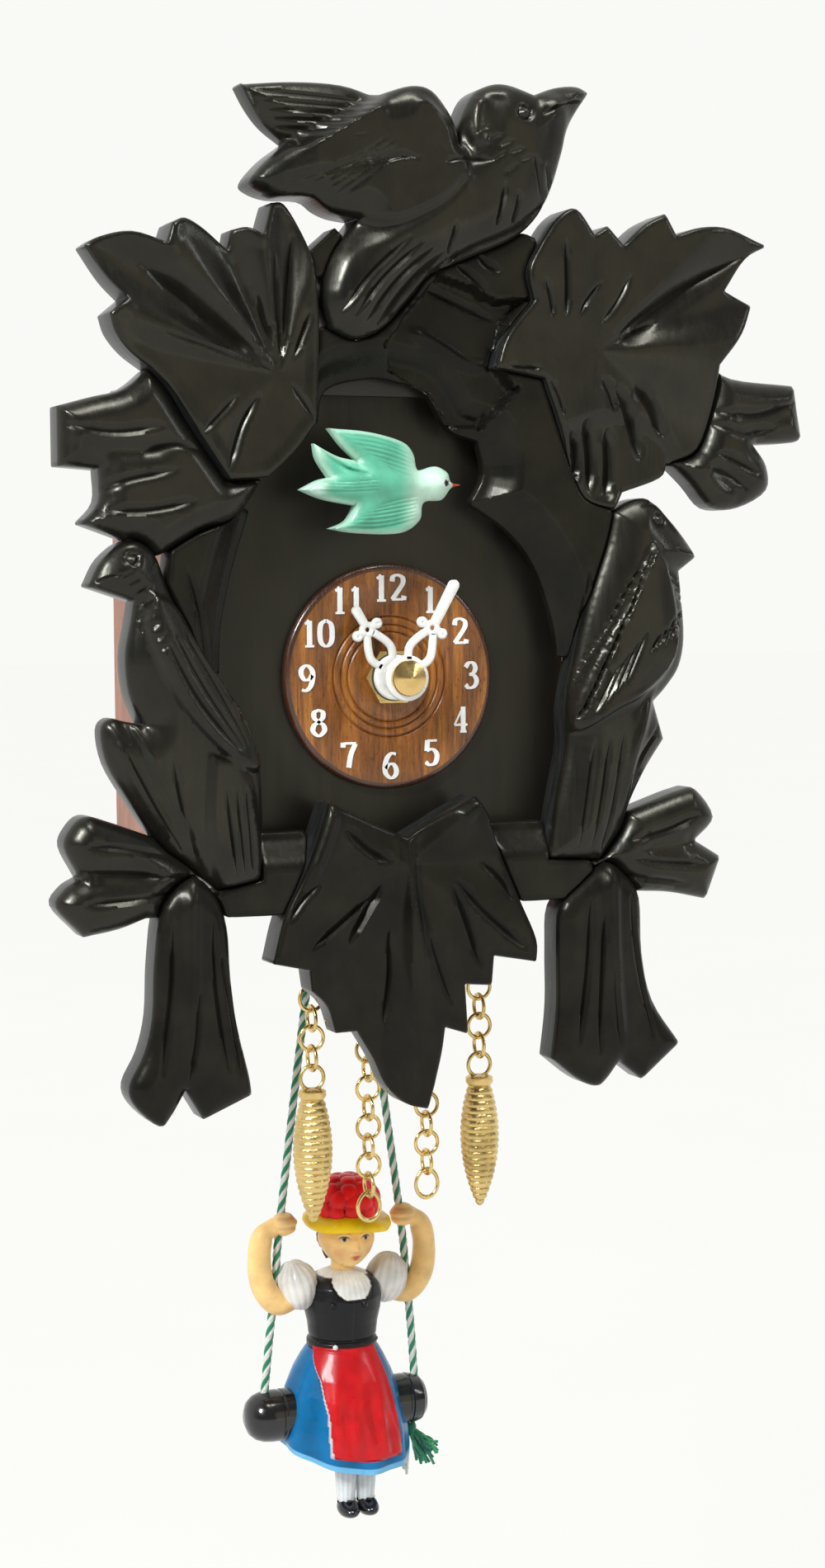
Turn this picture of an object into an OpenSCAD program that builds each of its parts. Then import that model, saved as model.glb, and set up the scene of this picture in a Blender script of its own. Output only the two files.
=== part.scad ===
// Miniature carved wall clock with a swinging doll, rocking bird and chain weights.
// Frame: origin at the centre of the hanger hole on the wall plane, front toward -Y, +Z up.

/* [Case] */
// Width of the wooden case
case_w = 72; // [66:1:90]
// Depth of the wooden case from the wall to the back of the carving
case_d = 44; // [40:1:60]
// Thickness of the case boards
wall_t = 3; // [2:0.5:5]
// Height of the case top above the dial centre
case_up = 50; // [48:1:60]
// Depth of the case bottom below the dial centre
case_down = 33; // [31:1:40]
// Distance of the hanger hole above the dial centre
hanger_up = 44; // [40:1:48]
// Radius of the hanger hole
hanger_r = 2.4; // [1.5:0.1:3]

/* [Carving] */
// Thickness of the carved wood at its outer edges
edge_t = 5.6; // [4:0.1:8]
// Thickness of the plate behind the carving
backing_t = 1.5; // [1:0.1:2]
// Extra height of the leaves in the middle
leaf_rise = 2.2; // [1:0.1:4]
// Extra height of the birds in the middle
bird_rise = 4; // [2:0.1:6]
// Radius of the carved vein grooves
vein_r = 0.5; // [0.3:0.1:0.8]
// Glue gap left around each carved element
glue_gap = 0.05; // [0.02:0.01:0.1]

/* [Dial and hands] */
// Diameter of the dial
dial_d = 38; // [34:0.5:42]
// Thickness of the dial
dial_t = 1.6; // [1:0.1:3]
// Reach of the minute hand from its hub
minute_len = 18.5; // [15:0.5:19]
// Reach of the hour hand from its hub
hour_len = 14; // [10:0.5:15]
// Angle shown by the minute hand, clockwise from twelve
minute_deg = 29; // [0:1:360]
// Angle shown by the hour hand, clockwise from twelve
hour_deg = 328; // [0:1:360]

/* [Movement] */
// Side of the square movement housing
move_w = 56; // [54:1:58]
// Depth of the movement housing without its cover
move_d = 15; // [14:0.5:17]
// Thickness of the housing walls
move_wall = 1.5; // [1:0.1:2]

/* [Swing] */
// Height of the pendulum pivot above the dial centre
pivot_up = 20; // [16:1:24]
// Drop of the cord hook below the dial centre
hook_down = 27; // [24:1:29]
// Depth of the swing plane behind the dial face
swing_back = 25.6; // [24:0.2:27]
// Radius of the twisted cords
cord_r = 0.75; // [0.5:0.05:1]

/* [Chains] */
// Mean radius of one chain link
link_r = 2.1; // [1.6:0.1:2.4]
// Radius of the chain wire
wire_r = 0.35; // [0.25:0.05:0.45]
// Greatest radius of a hanging weight
weight_r = 3.4; // [2.5:0.1:4]
// Length of a hanging weight below its collar
weight_len = 21; // [16:0.5:25]

/* [Hidden] */
$fn = 48;
dial_z = -hanger_up;
board_t = 4;
case_front = case_d - backing_t;
dial_back = case_d - board_t;
face_y = -(dial_back + dial_t);
half_w = case_w / 2;
inner_w = half_w - wall_t;
top_z = dial_z + case_up;
bottom_z = dial_z - case_down;
move_front = -(case_d - 2 * board_t);
move_rear = move_front + move_d;
cover_t = 1.5;
cover_rear = move_rear + cover_t;
swing_y = face_y + swing_back;
pivot_r = 0.8;
pivot_z = dial_z + pivot_up;
hook_z = dial_z - hook_down;
cord_top_x = 1.5;
bird_x = -4;
bird_inset = 1.6;
leaf_inset = 1.4;
board_slit = 1;
slack = 0.1;
bird_z = dial_z + 32.5;
fork_gap = 0.9;
gear_m = 0.25;
hour_m = 0.24;
motion_dist = 6;
train_dist = 7;
tube_r = 4;
tube_out = 2.1;
pipe_r = 2.5;
arbor_r = 1;
post_r = 0.4;
run_gap = 0.05;

eye_drop = 3.4;
eye_r = 1.5;
outer_y = face_y + 2.6;
inner_y = face_y + 9.1;
chain_top = bottom_z - eye_drop - 2 * eye_r;
outer_links = 8;
inner_links = 15;
hang_gap = 2 * wire_r + 0.1;
pitch = 2 * link_r - hang_gap;
doll_y = swing_y;

// Outline points are [x, z] from the dial centre; a third value of 1 marks a sharp corner.
P_TOP_BIRD = [[-28, 96, 1], [-18.5, 97], [-10, 97], [-4, 95.5, 1], [1, 97], [4.5, 96.5],
    [7.5, 93.5], [9, 91], [9.5, 88, 1], [10, 91.5], [12, 96], [15, 98], [18.5, 98.5],
    [23.5, 97, 1], [27.5, 98.5], [31.5, 99], [34, 98, 1], [31.5, 94.5], [29.5, 91],
    [28.5, 87.5], [26.5, 81.5], [24, 77], [19.5, 73], [11.5, 69.5], [4.5, 66.5], [1, 62.5],
    [-4, 57.5], [-9, 55.5], [-13.5, 57, 1], [-15, 62], [-13, 69], [-8.5, 75, 1], [-12, 75.5],
    [-14.5, 76.5], [-17, 78], [-22.5, 78], [-26, 79], [-27, 80.5], [-24, 84], [-20, 87, 1],
    [-23.5, 89.5], [-26, 92.5]];
P_LEFT_BIRD = [[-54.5, 15.5, 1], [-52, 20], [-47.5, 23], [-43.5, 21], [-41, 15], [-37, 7],
    [-32.5, 0], [-28, -6.5], [-26, -13], [-25.5, -22], [-26, -32.5, 1], [-33.5, -34, 1],
    [-38, -30], [-42, -27], [-45, -23.5], [-48, -19], [-51.5, -13], [-52.5, -7.5], [-51, -5.5],
    [-48.5, -6], [-46, -6.5, 1], [-48, -1.5], [-48.5, 4.5], [-47.5, 10], [-47, 13, 1]];
P_RIGHT_BIRD = [[55, 20, 1], [51.5, 24.5], [46.5, 29.5], [43, 30], [38.5, 28, 1], [37, 22],
    [33.5, 12], [31, 2], [29.5, -6], [29.5, -12], [27.5, -22], [26, -31.5, 1], [36, -32, 1],
    [40, -27], [42, -22], [45, -16.5], [48.5, -11.5, 1], [46.5, -5, 1], [49, -2.5],
    [51.5, 1], [52.5, 6], [52, 13], [51.5, 17.5, 1]];
P_LEFT_LEAF = [[-54.5, 69, 1], [-52, 70.5], [-47, 71.5], [-41.5, 70, 1], [-40.5, 73, 1],
    [-38, 74], [-34.5, 72.5], [-30.5, 69.5, 1], [-30, 72.5, 1], [-27.5, 73], [-25, 72, 1],
    [-23.5, 77, 1], [-21, 77], [-18.5, 73.5], [-16.5, 68], [-15.5, 60], [-15.5, 50],
    [-16, 42, 1], [-20, 37], [-24.5, 33, 1], [-31, 32.5, 1], [-35, 38], [-38, 42.5],
    [-41, 47], [-44, 50, 1], [-47.5, 52.5], [-50, 55.5], [-51, 58.5, 1], [-48, 61, 1],
    [-51, 64]];
P_RIGHT_LEAF = [[24.5, 73, 1], [27.5, 77], [31, 78.5], [34.5, 74.5, 1], [37, 76, 1],
    [40, 73, 1], [44, 76.5], [48, 78.5, 1], [50, 75, 1], [55, 76.5], [61, 76.5],
    [69, 74, 1], [64.5, 71.5], [60.5, 66, 1], [65.5, 63.5, 1], [63, 58.5], [58.5, 53, 1],
    [57.5, 46], [55, 38.5], [49.5, 36, 1], [48, 33.5], [40.5, 31, 1], [38.5, 28, 1],
    [33, 30], [30, 36], [28, 42, 1], [25, 50, 1], [16, 51.5, 1], [18, 57], [23, 63, 1],
    [22, 68]];
P_BOTTOM_LEAF = [[-14.5, -20, 1], [-8, -23], [-0.5, -26.5, 1], [6, -23], [12, -20, 1],
    [15, -25], [18.5, -33], [21, -39], [23.5, -45], [23.5, -49, 1], [15.5, -47.5, 1],
    [15, -52.5, 1], [10, -52, 1], [10.5, -60.5, 1], [6, -59, 1], [5, -64], [2.5, -72.5, 1],
    [-1, -71.5], [-4, -68.5], [-6, -64], [-9, -59, 1], [-13, -59, 1], [-14.5, -54.5],
    [-17.5, -51.5, 1], [-18, -48, 1], [-24.5, -46.5, 1], [-22.5, -39], [-19.5, -33],
    [-17, -27]];
P_LEFT_FOOT = [[-38, -31.5], [-34, -34.5], [-32, -40], [-31.5, -48], [-30.5, -56],
    [-28.5, -64.5], [-28, -68, 1], [-36.5, -71.5, 1], [-39.5, -66.5, 1], [-42, -70.5],
    [-44, -72], [-48, -68.5], [-49, -65], [-46.5, -60], [-45, -54], [-44.5, -45], [-43, -36]];
P_RIGHT_FOOT = [[37, -32.5], [41, -35], [43.5, -39], [44, -48.5], [46, -57], [51.5, -65, 1],
    [44, -71, 1], [39.5, -67.5, 1], [37, -70.5], [35, -71.5], [31.5, -70], [26.5, -66, 1],
    [27.5, -57], [27.5, -47.5], [28, -40], [32, -36]];
P_LEFT_UPPER = [[-43, 51, 1], [-48, 47], [-53.5, 45.5], [-59, 44, 1], [-59, 34.5, 1],
    [-52.5, 34, 1], [-52.5, 29], [-55.5, 25.5, 1], [-48.5, 23, 1], [-44, 20], [-36, 24],
    [-29, 27], [-24, 34, 1], [-34, 42, 1]];
P_RIGHT_UPPER = [[57, 54, 1], [62, 51], [74.5, 50, 1], [76, 41, 1], [74.5, 40],
    [66.5, 39.5, 1], [69, 36], [69, 31.5], [63.5, 28.5], [58, 28.5], [54, 32.5],
    [49.5, 36.5, 1], [52, 45, 1]];
P_LEFT_LOWER = [[-43.5, -25, 1], [-51.5, -22], [-55.5, -21], [-58, -23], [-59, -26],
    [-56.5, -31, 1], [-59, -32.5], [-60.5, -35.5], [-56, -40.5, 1], [-50, -39.5],
    [-45.5, -38, 1], [-36, -38, 1], [-34, -33], [-37, -27, 1]];
P_RIGHT_LOWER = [[41, -24, 1], [47, -22], [52, -20.5], [55, -20.5], [58.5, -25.5],
    [55, -29.5, 1], [60, -32.5, 1], [57, -40, 1], [50, -38.5], [44, -38, 1], [36, -38, 1],
    [34, -32, 1], [36, -27]];
P_BOARD = [[-18.5, 68, 1], [-10.5, 75, 1], [0, 74, 1], [16, 75, 1], [22.5, 74, 1],
    [25, 73, 1], [45, 60, 1], [46, 40, 1], [43, 20, 1], [42, 0, 1], [41, -20, 1],
    [41, -38, 1], [28, -38.5, 1], [-30, -38.5, 1], [-42, -38, 1], [-42, -20, 1],
    [-43, 0, 1], [-41, 20, 1], [-38, 40, 1], [-30, 60, 1]];
P_OPENING = [[-28, -25, 1], [-31, -10], [-31.5, 5], [-30, 15], [-27, 25], [-24, 33],
    [-20, 39], [-14, 42, 1], [-12.5, 47.5], [-5, 49.5], [0, 49], [5, 47.5], [9, 41.5],
    [14.5, 39.5, 1], [15.5, 34], [13, 29, 1], [20, 24.5], [25, 18.5], [28.5, 9], [29.5, 0],
    [29, -12], [27, -25, 1]];
P_GREEN_BIRD = [[-14.5, 41, 1], [-7.5, 40.5], [-1.5, 39], [0.5, 37], [1, 34.5], [2.5, 34.5],
    [4.5, 35], [6.5, 34], [7, 32.5], [9, 32, 1], [7, 31.3], [5.5, 29.5], [3, 29.3],
    [2, 28.5], [1.5, 26], [-2, 24], [-9.5, 24], [-14.5, 24.7, 1], [-11.5, 26],
    [-10, 28.5, 1], [-15.5, 29.5], [-19.5, 31, 1], [-16.5, 32.5], [-14.5, 33, 1],
    [-16.5, 36], [-17, 38.5, 1], [-13, 36.5], [-9.5, 35.8, 1], [-12, 38]];

// Vein grooves are [x1, z1, x2, z2] from the dial centre.
V_LEFT_LEAF = [[-45, 65, -23, 50.5], [-41, 55, -24, 50], [-30, 67, -22.5, 51],
    [-22, 72, -21.5, 52], [-35, 40, -28, 46], [-24, 36, -22.5, 46]];
V_RIGHT_LEAF = [[62, 73, 36, 54], [60, 62, 37, 53], [46, 72, 36, 55], [31, 72, 33, 54],
    [52, 42, 37, 51], [40, 34, 35, 49], [20, 53, 31, 52.5]];
V_BOTTOM_LEAF = [[0, -29, 1, -66], [-20, -45, -4, -33], [18, -45, 4, -33], [-10, -56, -4, -38],
    [8, -57, 4, -38]];
V_LEFT_FOOT = [[-38.5, -34, -39.5, -64], [-35, -38, -33.5, -64], [-42, -38, -43, -62]];
V_RIGHT_FOOT = [[37, -35, 38.5, -64], [33, -39, 31.5, -64], [41, -39, 44, -62]];

// Cord centre lines as [x, z] from the dial centre.
C_LEFT = [[-1.5, -27], [-6, -56], [-11.5, -97], [-12.6, -108], [-14, -120], [-15, -129.5]];
C_RIGHT = [[1.5, -27], [6.3, -60], [11.5, -98], [12.6, -109], [13.6, -120], [14.2, -129.5]];

function flag(p) = len(p) > 2 ? p[2] : 0;
function xz(p) = [p[0], p[1]];
function slope(P, i, k) =
    let (n = len(P), a = xz(P[(i + n - 1) % n]), b = xz(P[i]), c = xz(P[(i + 1) % n]))
    flag(P[i]) == 1 ? (k == 0 ? c - b : b - a) : (c - a) / 2;
function blend(a, b, ma, mb, t) = (2 * t * t * t - 3 * t * t + 1) * a
    + (t * t * t - 2 * t * t + t) * ma + (3 * t * t - 2 * t * t * t) * b
    + (t * t * t - t * t) * mb;
function smooth(P, n = 4) = [for (i = [0 : len(P) - 1])
    let (j = (i + 1) % len(P), straight = flag(P[i]) == 1 && flag(P[j]) == 1)
    for (k = [0 : straight ? 0 : n - 1])
    blend(xz(P[i]), xz(P[j]), slope(P, i, 0), slope(P, j, 1), k / n)];

module shape(P) {
    polygon(smooth(P));
}

// Draws a flat shape standing in the clock plane, its back at depth y and growing forward.
module upright(y, depth) {
    translate([0, y, dial_z])
        rotate([90, 0, 0])
            linear_extrude(depth)
                children();
}

// Removes slivers and leaves the glue gap.
module trimmed(least = 0.35) {
    offset(delta = least, chamfer = true)
        offset(delta = -least - glue_gap, chamfer = true)
            children();
}

module birds() {
    shape(P_TOP_BIRD);
    shape(P_LEFT_BIRD);
    shape(P_RIGHT_BIRD);
}

module leaves() {
    shape(P_LEFT_LEAF);
    shape(P_RIGHT_LEAF);
    shape(P_BOTTOM_LEAF);
    shape(P_LEFT_FOOT);
    shape(P_RIGHT_FOOT);
}

module branches() {
    shape(P_LEFT_UPPER);
    shape(P_RIGHT_UPPER);
    shape(P_LEFT_LOWER);
    shape(P_RIGHT_LOWER);
}

module grooves(V, front) {
    for (v = V) {
        len_v = norm([v[2] - v[0], v[3] - v[1]]);
        translate([v[0], -front, dial_z + v[1]])
            rotate([0, 90 - atan2(v[3] - v[1], v[2] - v[0]), 0])
                cylinder(r = vein_r, h = len_v, $fn = 16);
    }
}

module relief(rise, inset) {
    upright(-case_d, edge_t)
        children();
    upright(-case_d - edge_t, rise / 2)
        offset(delta = -inset)
            children();
    upright(-case_d - edge_t - rise / 2, rise / 2)
        offset(delta = -2 * inset)
            children();
}

module carved(rise, inset, V) {
    difference() {
        relief(rise, inset)
            trimmed()
                children();
        grooves(V, case_d + edge_t + rise);
    }
}

module top_bird() {
    color("black")
        carved(bird_rise, bird_inset, [])
            shape(P_TOP_BIRD);
}

module left_bird() {
    color("black")
        carved(bird_rise, bird_inset, [])
            shape(P_LEFT_BIRD);
}

module right_bird() {
    color("black")
        carved(bird_rise, bird_inset, [])
            shape(P_RIGHT_BIRD);
}

module left_leaf() {
    color("black")
        carved(leaf_rise, leaf_inset, V_LEFT_LEAF)
            difference() {
                shape(P_LEFT_LEAF);
                birds();
            }
}

module right_leaf() {
    color("black")
        carved(leaf_rise, leaf_inset, V_RIGHT_LEAF)
            difference() {
                shape(P_RIGHT_LEAF);
                birds();
            }
}

module bottom_leaf() {
    color("black")
        carved(leaf_rise, leaf_inset, V_BOTTOM_LEAF)
            shape(P_BOTTOM_LEAF);
}

module left_foot() {
    color("black")
        carved(leaf_rise, leaf_inset, V_LEFT_FOOT)
            difference() {
                shape(P_LEFT_FOOT);
                birds();
            }
}

module right_foot() {
    color("black")
        carved(leaf_rise, leaf_inset, V_RIGHT_FOOT)
            difference() {
                shape(P_RIGHT_FOOT);
                birds();
            }
}

module branch(P) {
    carved(leaf_rise, leaf_inset, [])
        difference() {
            shape(P);
            birds();
            leaves();
        }
}

module left_upper_branch() {
    color("black")
        branch(P_LEFT_UPPER);
}

module right_upper_branch() {
    color("black")
        branch(P_RIGHT_UPPER);
}

module left_lower_branch() {
    color("black")
        branch(P_LEFT_LOWER);
}

module right_lower_branch() {
    color("black")
        branch(P_RIGHT_LOWER);
}

module front_board() {
    color("black") {
        upright(-case_front, backing_t)
            difference() {
                shape(P_BOARD);
                shape(P_OPENING);
            }
        upright(-case_d, edge_t)
            trimmed(board_slit)
                difference() {
                    shape(P_BOARD);
                    shape(P_OPENING);
                    birds();
                    leaves();
                    branches();
                }
    }
}

module dial_board() {
    inner_h = case_up + case_down - 2 * wall_t;
    color("black")
        difference() {
            translate([-inner_w, -dial_back, bottom_z + wall_t])
                cube([2 * inner_w, board_t, inner_h]);
            translate([0, move_front + 1, dial_z])
                rotate([90, 0, 0])
                    cylinder(r = tube_r + slack, h = board_t + 2);
            translate([bird_x, move_front + 1, bird_z])
                rotate([90, 0, 0])
                    cylinder(r = arbor_r + run_gap, h = board_t + 2, $fn = 32);
        }
}

// One side board of the case; the right one is shallower so the back panel can slide out.
module side_board(x, back_y) {
    color("sienna")
        translate([x, -case_front, bottom_z])
            cube([wall_t, case_front + back_y, case_up + case_down]);
}

panel_y = -1;
panel_t = 2;
rail_h = 12;
rail_t = 5;
panel_gap = 0.3;
plate_w = 36;
plate_h = 9;
plate_t = 1;
hanger_room = 1.6;
screw_x = 14;
screw_r = 1;
groove_w = 2.5;
groove_cut = 1.5;
module case_left() {
    side_board(-half_w, 0);
}

module case_right() {
    side_board(inner_w, panel_y - panel_t - 0.5);
}

module case_top() {
    color("sienna")
        difference() {
            union() {
                translate([-inner_w, -case_front, top_z - wall_t])
                    cube([2 * inner_w, case_front, wall_t]);
                translate([-inner_w, -rail_t, top_z - wall_t - rail_h])
                    cube([2 * inner_w, rail_t, rail_h]);
            }
            translate([0, 1, 0])
                rotate([90, 0, 0])
                    cylinder(r = hanger_r + hanger_room, h = rail_t + 2);
            translate([-plate_w / 2, -plate_t, -plate_h / 2])
                cube([plate_w, 4, plate_h]);
            translate([-inner_w - 1, panel_y - panel_t - 0.2, top_z - wall_t - rail_h - 1])
                cube([2 * inner_w + 2, panel_t + 0.4, groove_w]);
        }
}

slot_w = 30;
slot_d = 9;
module case_bottom() {
    color("sienna")
        difference() {
            translate([-inner_w, -case_front, bottom_z])
                cube([2 * inner_w, case_front, wall_t]);
            translate([-slot_w / 2, swing_y - slot_d / 2, bottom_z - 1])
                cube([slot_w, slot_d, wall_t + 2]);
            translate([-inner_w - 1, panel_y - panel_t - 0.2, bottom_z + wall_t - groove_cut])
                cube([2 * inner_w + 2, panel_t + 0.4, groove_w]);
        }
}

finger_r = 4;
module back_panel() {
    low = bottom_z + wall_t - groove_cut + panel_gap;
    high = top_z - wall_t - rail_h + groove_cut - panel_gap;
    color("burlywood")
        difference() {
            translate([-inner_w + 0.2, panel_y - panel_t, low])
                cube([half_w + inner_w - 0.2, panel_t, high - low]);
            translate([half_w - 2 * finger_r, panel_y + 1, (low + high) / 2])
                rotate([90, 0, 0])
                    cylinder(r = finger_r, h = panel_t + 2);
        }
}

module hanger_plate() {
    color("silver")
        difference() {
            translate([-plate_w / 2, -plate_t, -plate_h / 2])
                cube([plate_w, plate_t, plate_h]);
            translate([0, 1, 0])
                rotate([90, 0, 0])
                    cylinder(r = hanger_r, h = 3);
            for (x = [-screw_x, screw_x])
                translate([x, 1, 0])
                    rotate([90, 0, 0])
                        cylinder(r = screw_r, h = 3, $fn = 24);
        }
}

ring_radii = [7.6, 8.8, 10.2];
ring_groove_r = 0.25;
module dial() {
    color("chocolate")
        translate([0, -dial_back, dial_z])
            rotate([90, 0, 0])
                difference() {
                    cylinder(d = dial_d, h = dial_t, $fn = 96);
                    translate([0, 0, -1])
                        cylinder(r = tube_r + slack, h = dial_t + 2);
                    for (r = ring_radii)
                        translate([0, 0, dial_t])
                            rotate_extrude($fn = 96)
                                translate([r, 0])
                                    circle(r = ring_groove_r, $fn = 16);
                }
}

nut_r = 5;
nut_t = 1.8;
module mounting_nut() {
    color("gold")
        translate([0, face_y, dial_z])
            rotate([90, 0, 0])
                difference() {
                    cylinder(r = nut_r, h = nut_t, $fn = 6);
                    translate([0, 0, -1])
                        cylinder(r = tube_r, h = nut_t + 2);
                }
}

// Flat outline of an ornate hand pointing up: ring hub, two open lobes, a cross and a pointer.
module hand_shape(reach, hub_r, bore_r) {
    lobe = reach * 0.13;
    cross_at = hub_r + 3.4 * lobe;
    difference() {
        union() {
            circle(r = hub_r);
            translate([-0.45, 0])
                square([0.9, hub_r + 0.6 * lobe]);
            for (s = [-1, 1])
                translate([s * lobe * 0.75, hub_r + 1.7 * lobe])
                    scale([0.8, 1.25])
                        circle(r = lobe * 1.15, $fn = 24);
            translate([0, cross_at])
                rotate(45)
                    square(lobe * 1.15, center = true);
            for (a = [0, 90, 180])
                translate([lobe * 0.95 * cos(a), cross_at + lobe * 0.95 * sin(a)])
                    circle(r = lobe * 0.32, $fn = 16);
            polygon([[-0.5, cross_at], [0.5, cross_at], [0.12, reach], [-0.12, reach]]);
        }
        circle(r = bore_r);
        for (s = [-1, 1])
            translate([s * lobe * 0.75, hub_r + 1.7 * lobe])
                scale([0.8, 1.25])
                    circle(r = lobe * 0.68, $fn = 24);
        translate([0, cross_at])
            circle(r = lobe * 0.3, $fn = 16);
    }
}

hour_y = face_y - 2.2;
minute_y = face_y - 7.2;
hand_t = 0.8;
hub_r = 3.5;
module hour_hand() {
    color("white")
        translate([0, hour_y, dial_z])
            rotate([0, hour_deg, 0])
                rotate([90, 0, 0])
                    linear_extrude(hand_t)
                        hand_shape(hour_len, hub_r, pipe_r);
}

module minute_hand() {
    color("white")
        translate([0, minute_y, dial_z])
            rotate([0, minute_deg, 0])
                rotate([90, 0, 0])
                    linear_extrude(hand_t)
                        hand_shape(minute_len, hub_r, arbor_r);
}

module hand_nut() {
    color("gold")
        translate([0, minute_y - hand_t, dial_z])
            rotate([90, 0, 0])
                difference() {
                    union() {
                        cylinder(r = 2.6, h = 0.8);
                        translate([0, 0, 0.8])
                            cylinder(r1 = 2.4, r2 = 1.4, h = 1.6);
                    }
                    translate([0, 0, -1])
                        cylinder(r = arbor_r, h = 2.6);
                }
}

// Gear along Y with its front face at y; tooth 0 points at angle a in the clock plane.
module gear(m, n, y, h, a, bore_r) {
    r = m * n / 2;
    step = 360 / n;
    root = r - 1.1 * m;
    tip = r + 0.75 * m;
    pts = [for (i = [0 : n - 1]) for (q = [[root, -0.24], [tip, -0.08], [tip, 0.08], [root, 0.24]])
        [q[0] * cos(a + (i + q[1]) * step), q[0] * sin(a + (i + q[1]) * step)]];
    translate([0, y + h, 0])
        rotate([90, 0, 0])
            difference() {
                linear_extrude(h)
                    polygon(pts);
                translate([0, 0, -1])
                    cylinder(r = bore_r, h = h + 2, $fn = 32);
            }
}

// Round sleeve along Y from y forward by h.
module sleeve(y, h, r, bore_r) {
    translate([0, y + h, 0])
        rotate([90, 0, 0])
            difference() {
                cylinder(r = r, h = h, $fn = 32);
                translate([0, 0, -1])
                    cylinder(r = bore_r, h = h + 2, $fn = 32);
            }
}

module pin(y, h, r) {
    translate([0, y + h, 0])
        rotate([90, 0, 0])
            cylinder(r = r, h = h, $fn = 32);
}

a_third = 40;
a_inter = 80;
a_rotor = 150;
a_change = 200;
a_knob = 190;
at_third = [train_dist * cos(a_third), train_dist * sin(a_third)];
at_inter = at_third + [train_dist * cos(a_inter), train_dist * sin(a_inter)];
at_rotor = at_inter + [train_dist * cos(a_rotor), train_dist * sin(a_rotor)];
at_change = [motion_dist * cos(a_change), motion_dist * sin(a_change)];
at_knob = at_change + [motion_dist * cos(a_knob), motion_dist * sin(a_knob)];
in_front = move_front + move_wall;
y_hour = in_front + 0.3;
y_motion = in_front + 1.8;
y_centre = in_front + 4;
y_third = in_front + 6.5;
y_inter = in_front + 9;

module at(p) {
    translate([p[0], 0, dial_z + p[1]])
        children();
}

battery_r = 5.25;
battery_len = 43.5;
battery_at = [0, -21.25];
battery_y = -28.5;
bay_h = 11.2;
wheel_post_h = move_d - move_wall - 1;
stator_posts = [[-20, 16], [8, 20]];
module movement_housing() {
    inner = move_w - 2 * move_wall;
    color("dimgray") {
        difference() {
            union() {
                translate([-move_w / 2, move_front, dial_z - move_w / 2])
                    cube([move_w, move_d, move_w]);
                at([0, 0])
                    pin(face_y - tube_out, move_front - face_y + tube_out, tube_r);
            }
            translate([-inner / 2, in_front, dial_z - inner / 2])
                cube([inner, move_d, inner]);
            at([0, 0])
                pin(face_y - 4, move_front - face_y + 8, pipe_r + run_gap);
        }
        at(at_third)
            pin(in_front, wheel_post_h, post_r);
        at(at_inter)
            pin(in_front, wheel_post_h, post_r);
        at(at_rotor)
            pin(in_front, wheel_post_h, post_r);
        at(at_change)
            pin(in_front, 3, post_r);
        for (p = stator_posts)
            at(p)
                pin(in_front, 3.5, 1);
    }
}

module movement_cover() {
    color("dimgray") {
        difference() {
            union() {
                translate([-move_w / 2, move_rear, dial_z - move_w / 2])
                    cube([move_w, cover_t, move_w]);
                translate([bird_x - 4, move_rear, dial_z + move_w / 2])
                    cube([8, cover_t, 9]);
            }
            translate([-battery_len / 2 - 1.5, move_rear - 1, dial_z + battery_at[1] - bay_h / 2])
                cube([battery_len + 3, cover_t + 2, bay_h]);
            at(at_knob)
                pin(move_rear - 1, cover_t + 2, 1 + run_gap);
            at([bird_x, bird_z - dial_z])
                pin(move_rear - 1, cover_t + 2, arbor_r + run_gap);
        }
        at([0, 0])
            sleeve(move_rear - 2, 2, 1.6, 0.6 + run_gap);
        at([0, pivot_up])
            pin(cover_rear, 5, pivot_r);
    }
}

module battery() {
    color("darkorange")
        translate([-battery_len / 2, battery_y, dial_z + battery_at[1]])
            rotate([0, 90, 0]) {
                cylinder(r = battery_r, h = battery_len);
                translate([0, 0, battery_len])
                    cylinder(r = 1.9, h = 1, $fn = 32);
            }
}

module circuit_board() {
    color("darkgreen")
        translate([-24, in_front, dial_z + 2]) {
            cube([9, 1, 9]);
            translate([4.5, 2, 4.5])
                rotate([90, 0, 0])
                    cylinder(r = 2.4, h = 1.2, $fn = 32);
        }
}

stator_y = in_front + 3.5;
module stator() {
    color("silver")
        difference() {
            union() {
                translate([at_rotor[0] - 6, stator_y, dial_z + at_rotor[1] - 4])
                    cube([15, 1, 10]);
                translate([-22, stator_y, dial_z + 15])
                    cube([17, 1, 2]);
            }
            at(at_rotor)
                pin(stator_y - 1, 3, 2.9);
            at(at_inter)
                pin(stator_y - 1, 3, post_r + 0.3);
        }
}

module motor_coil() {
    color("peru")
        translate([-18, stator_y + 0.5, dial_z + 16])
            rotate([0, 90, 0])
                difference() {
                    cylinder(r = 2.8, h = 10);
                    translate([-1.05, -0.55, -1])
                        cube([2.1, 1.1, 12]);
                }
}

module drive_coil() {
    color("peru")
        at([0, -11])
            sleeve(move_rear - 3, 3, 4, 1.2);
}

module rotor() {
    color("slategray")
        at(at_rotor) {
            sleeve(stator_y - 0.8, 2.6, 2.4, post_r + run_gap);
            sleeve(stator_y + 1.8, y_inter - stator_y - 1.8, 0.7, post_r + run_gap);
            gear(gear_m, 8, y_inter, 1.2, a_rotor + 180 + 180 / 8, post_r + run_gap);
        }
}

module intermediate_wheel() {
    color("whitesmoke")
        at(at_inter) {
            gear(gear_m, 48, y_inter + 0.2, 0.8, a_rotor, post_r + run_gap);
            sleeve(y_third + 1.2, y_inter - y_third - 1, 0.7, post_r + run_gap);
            gear(gear_m, 8, y_third, 1.2, a_inter + 180 + 180 / 8, post_r + run_gap);
        }
}

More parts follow.
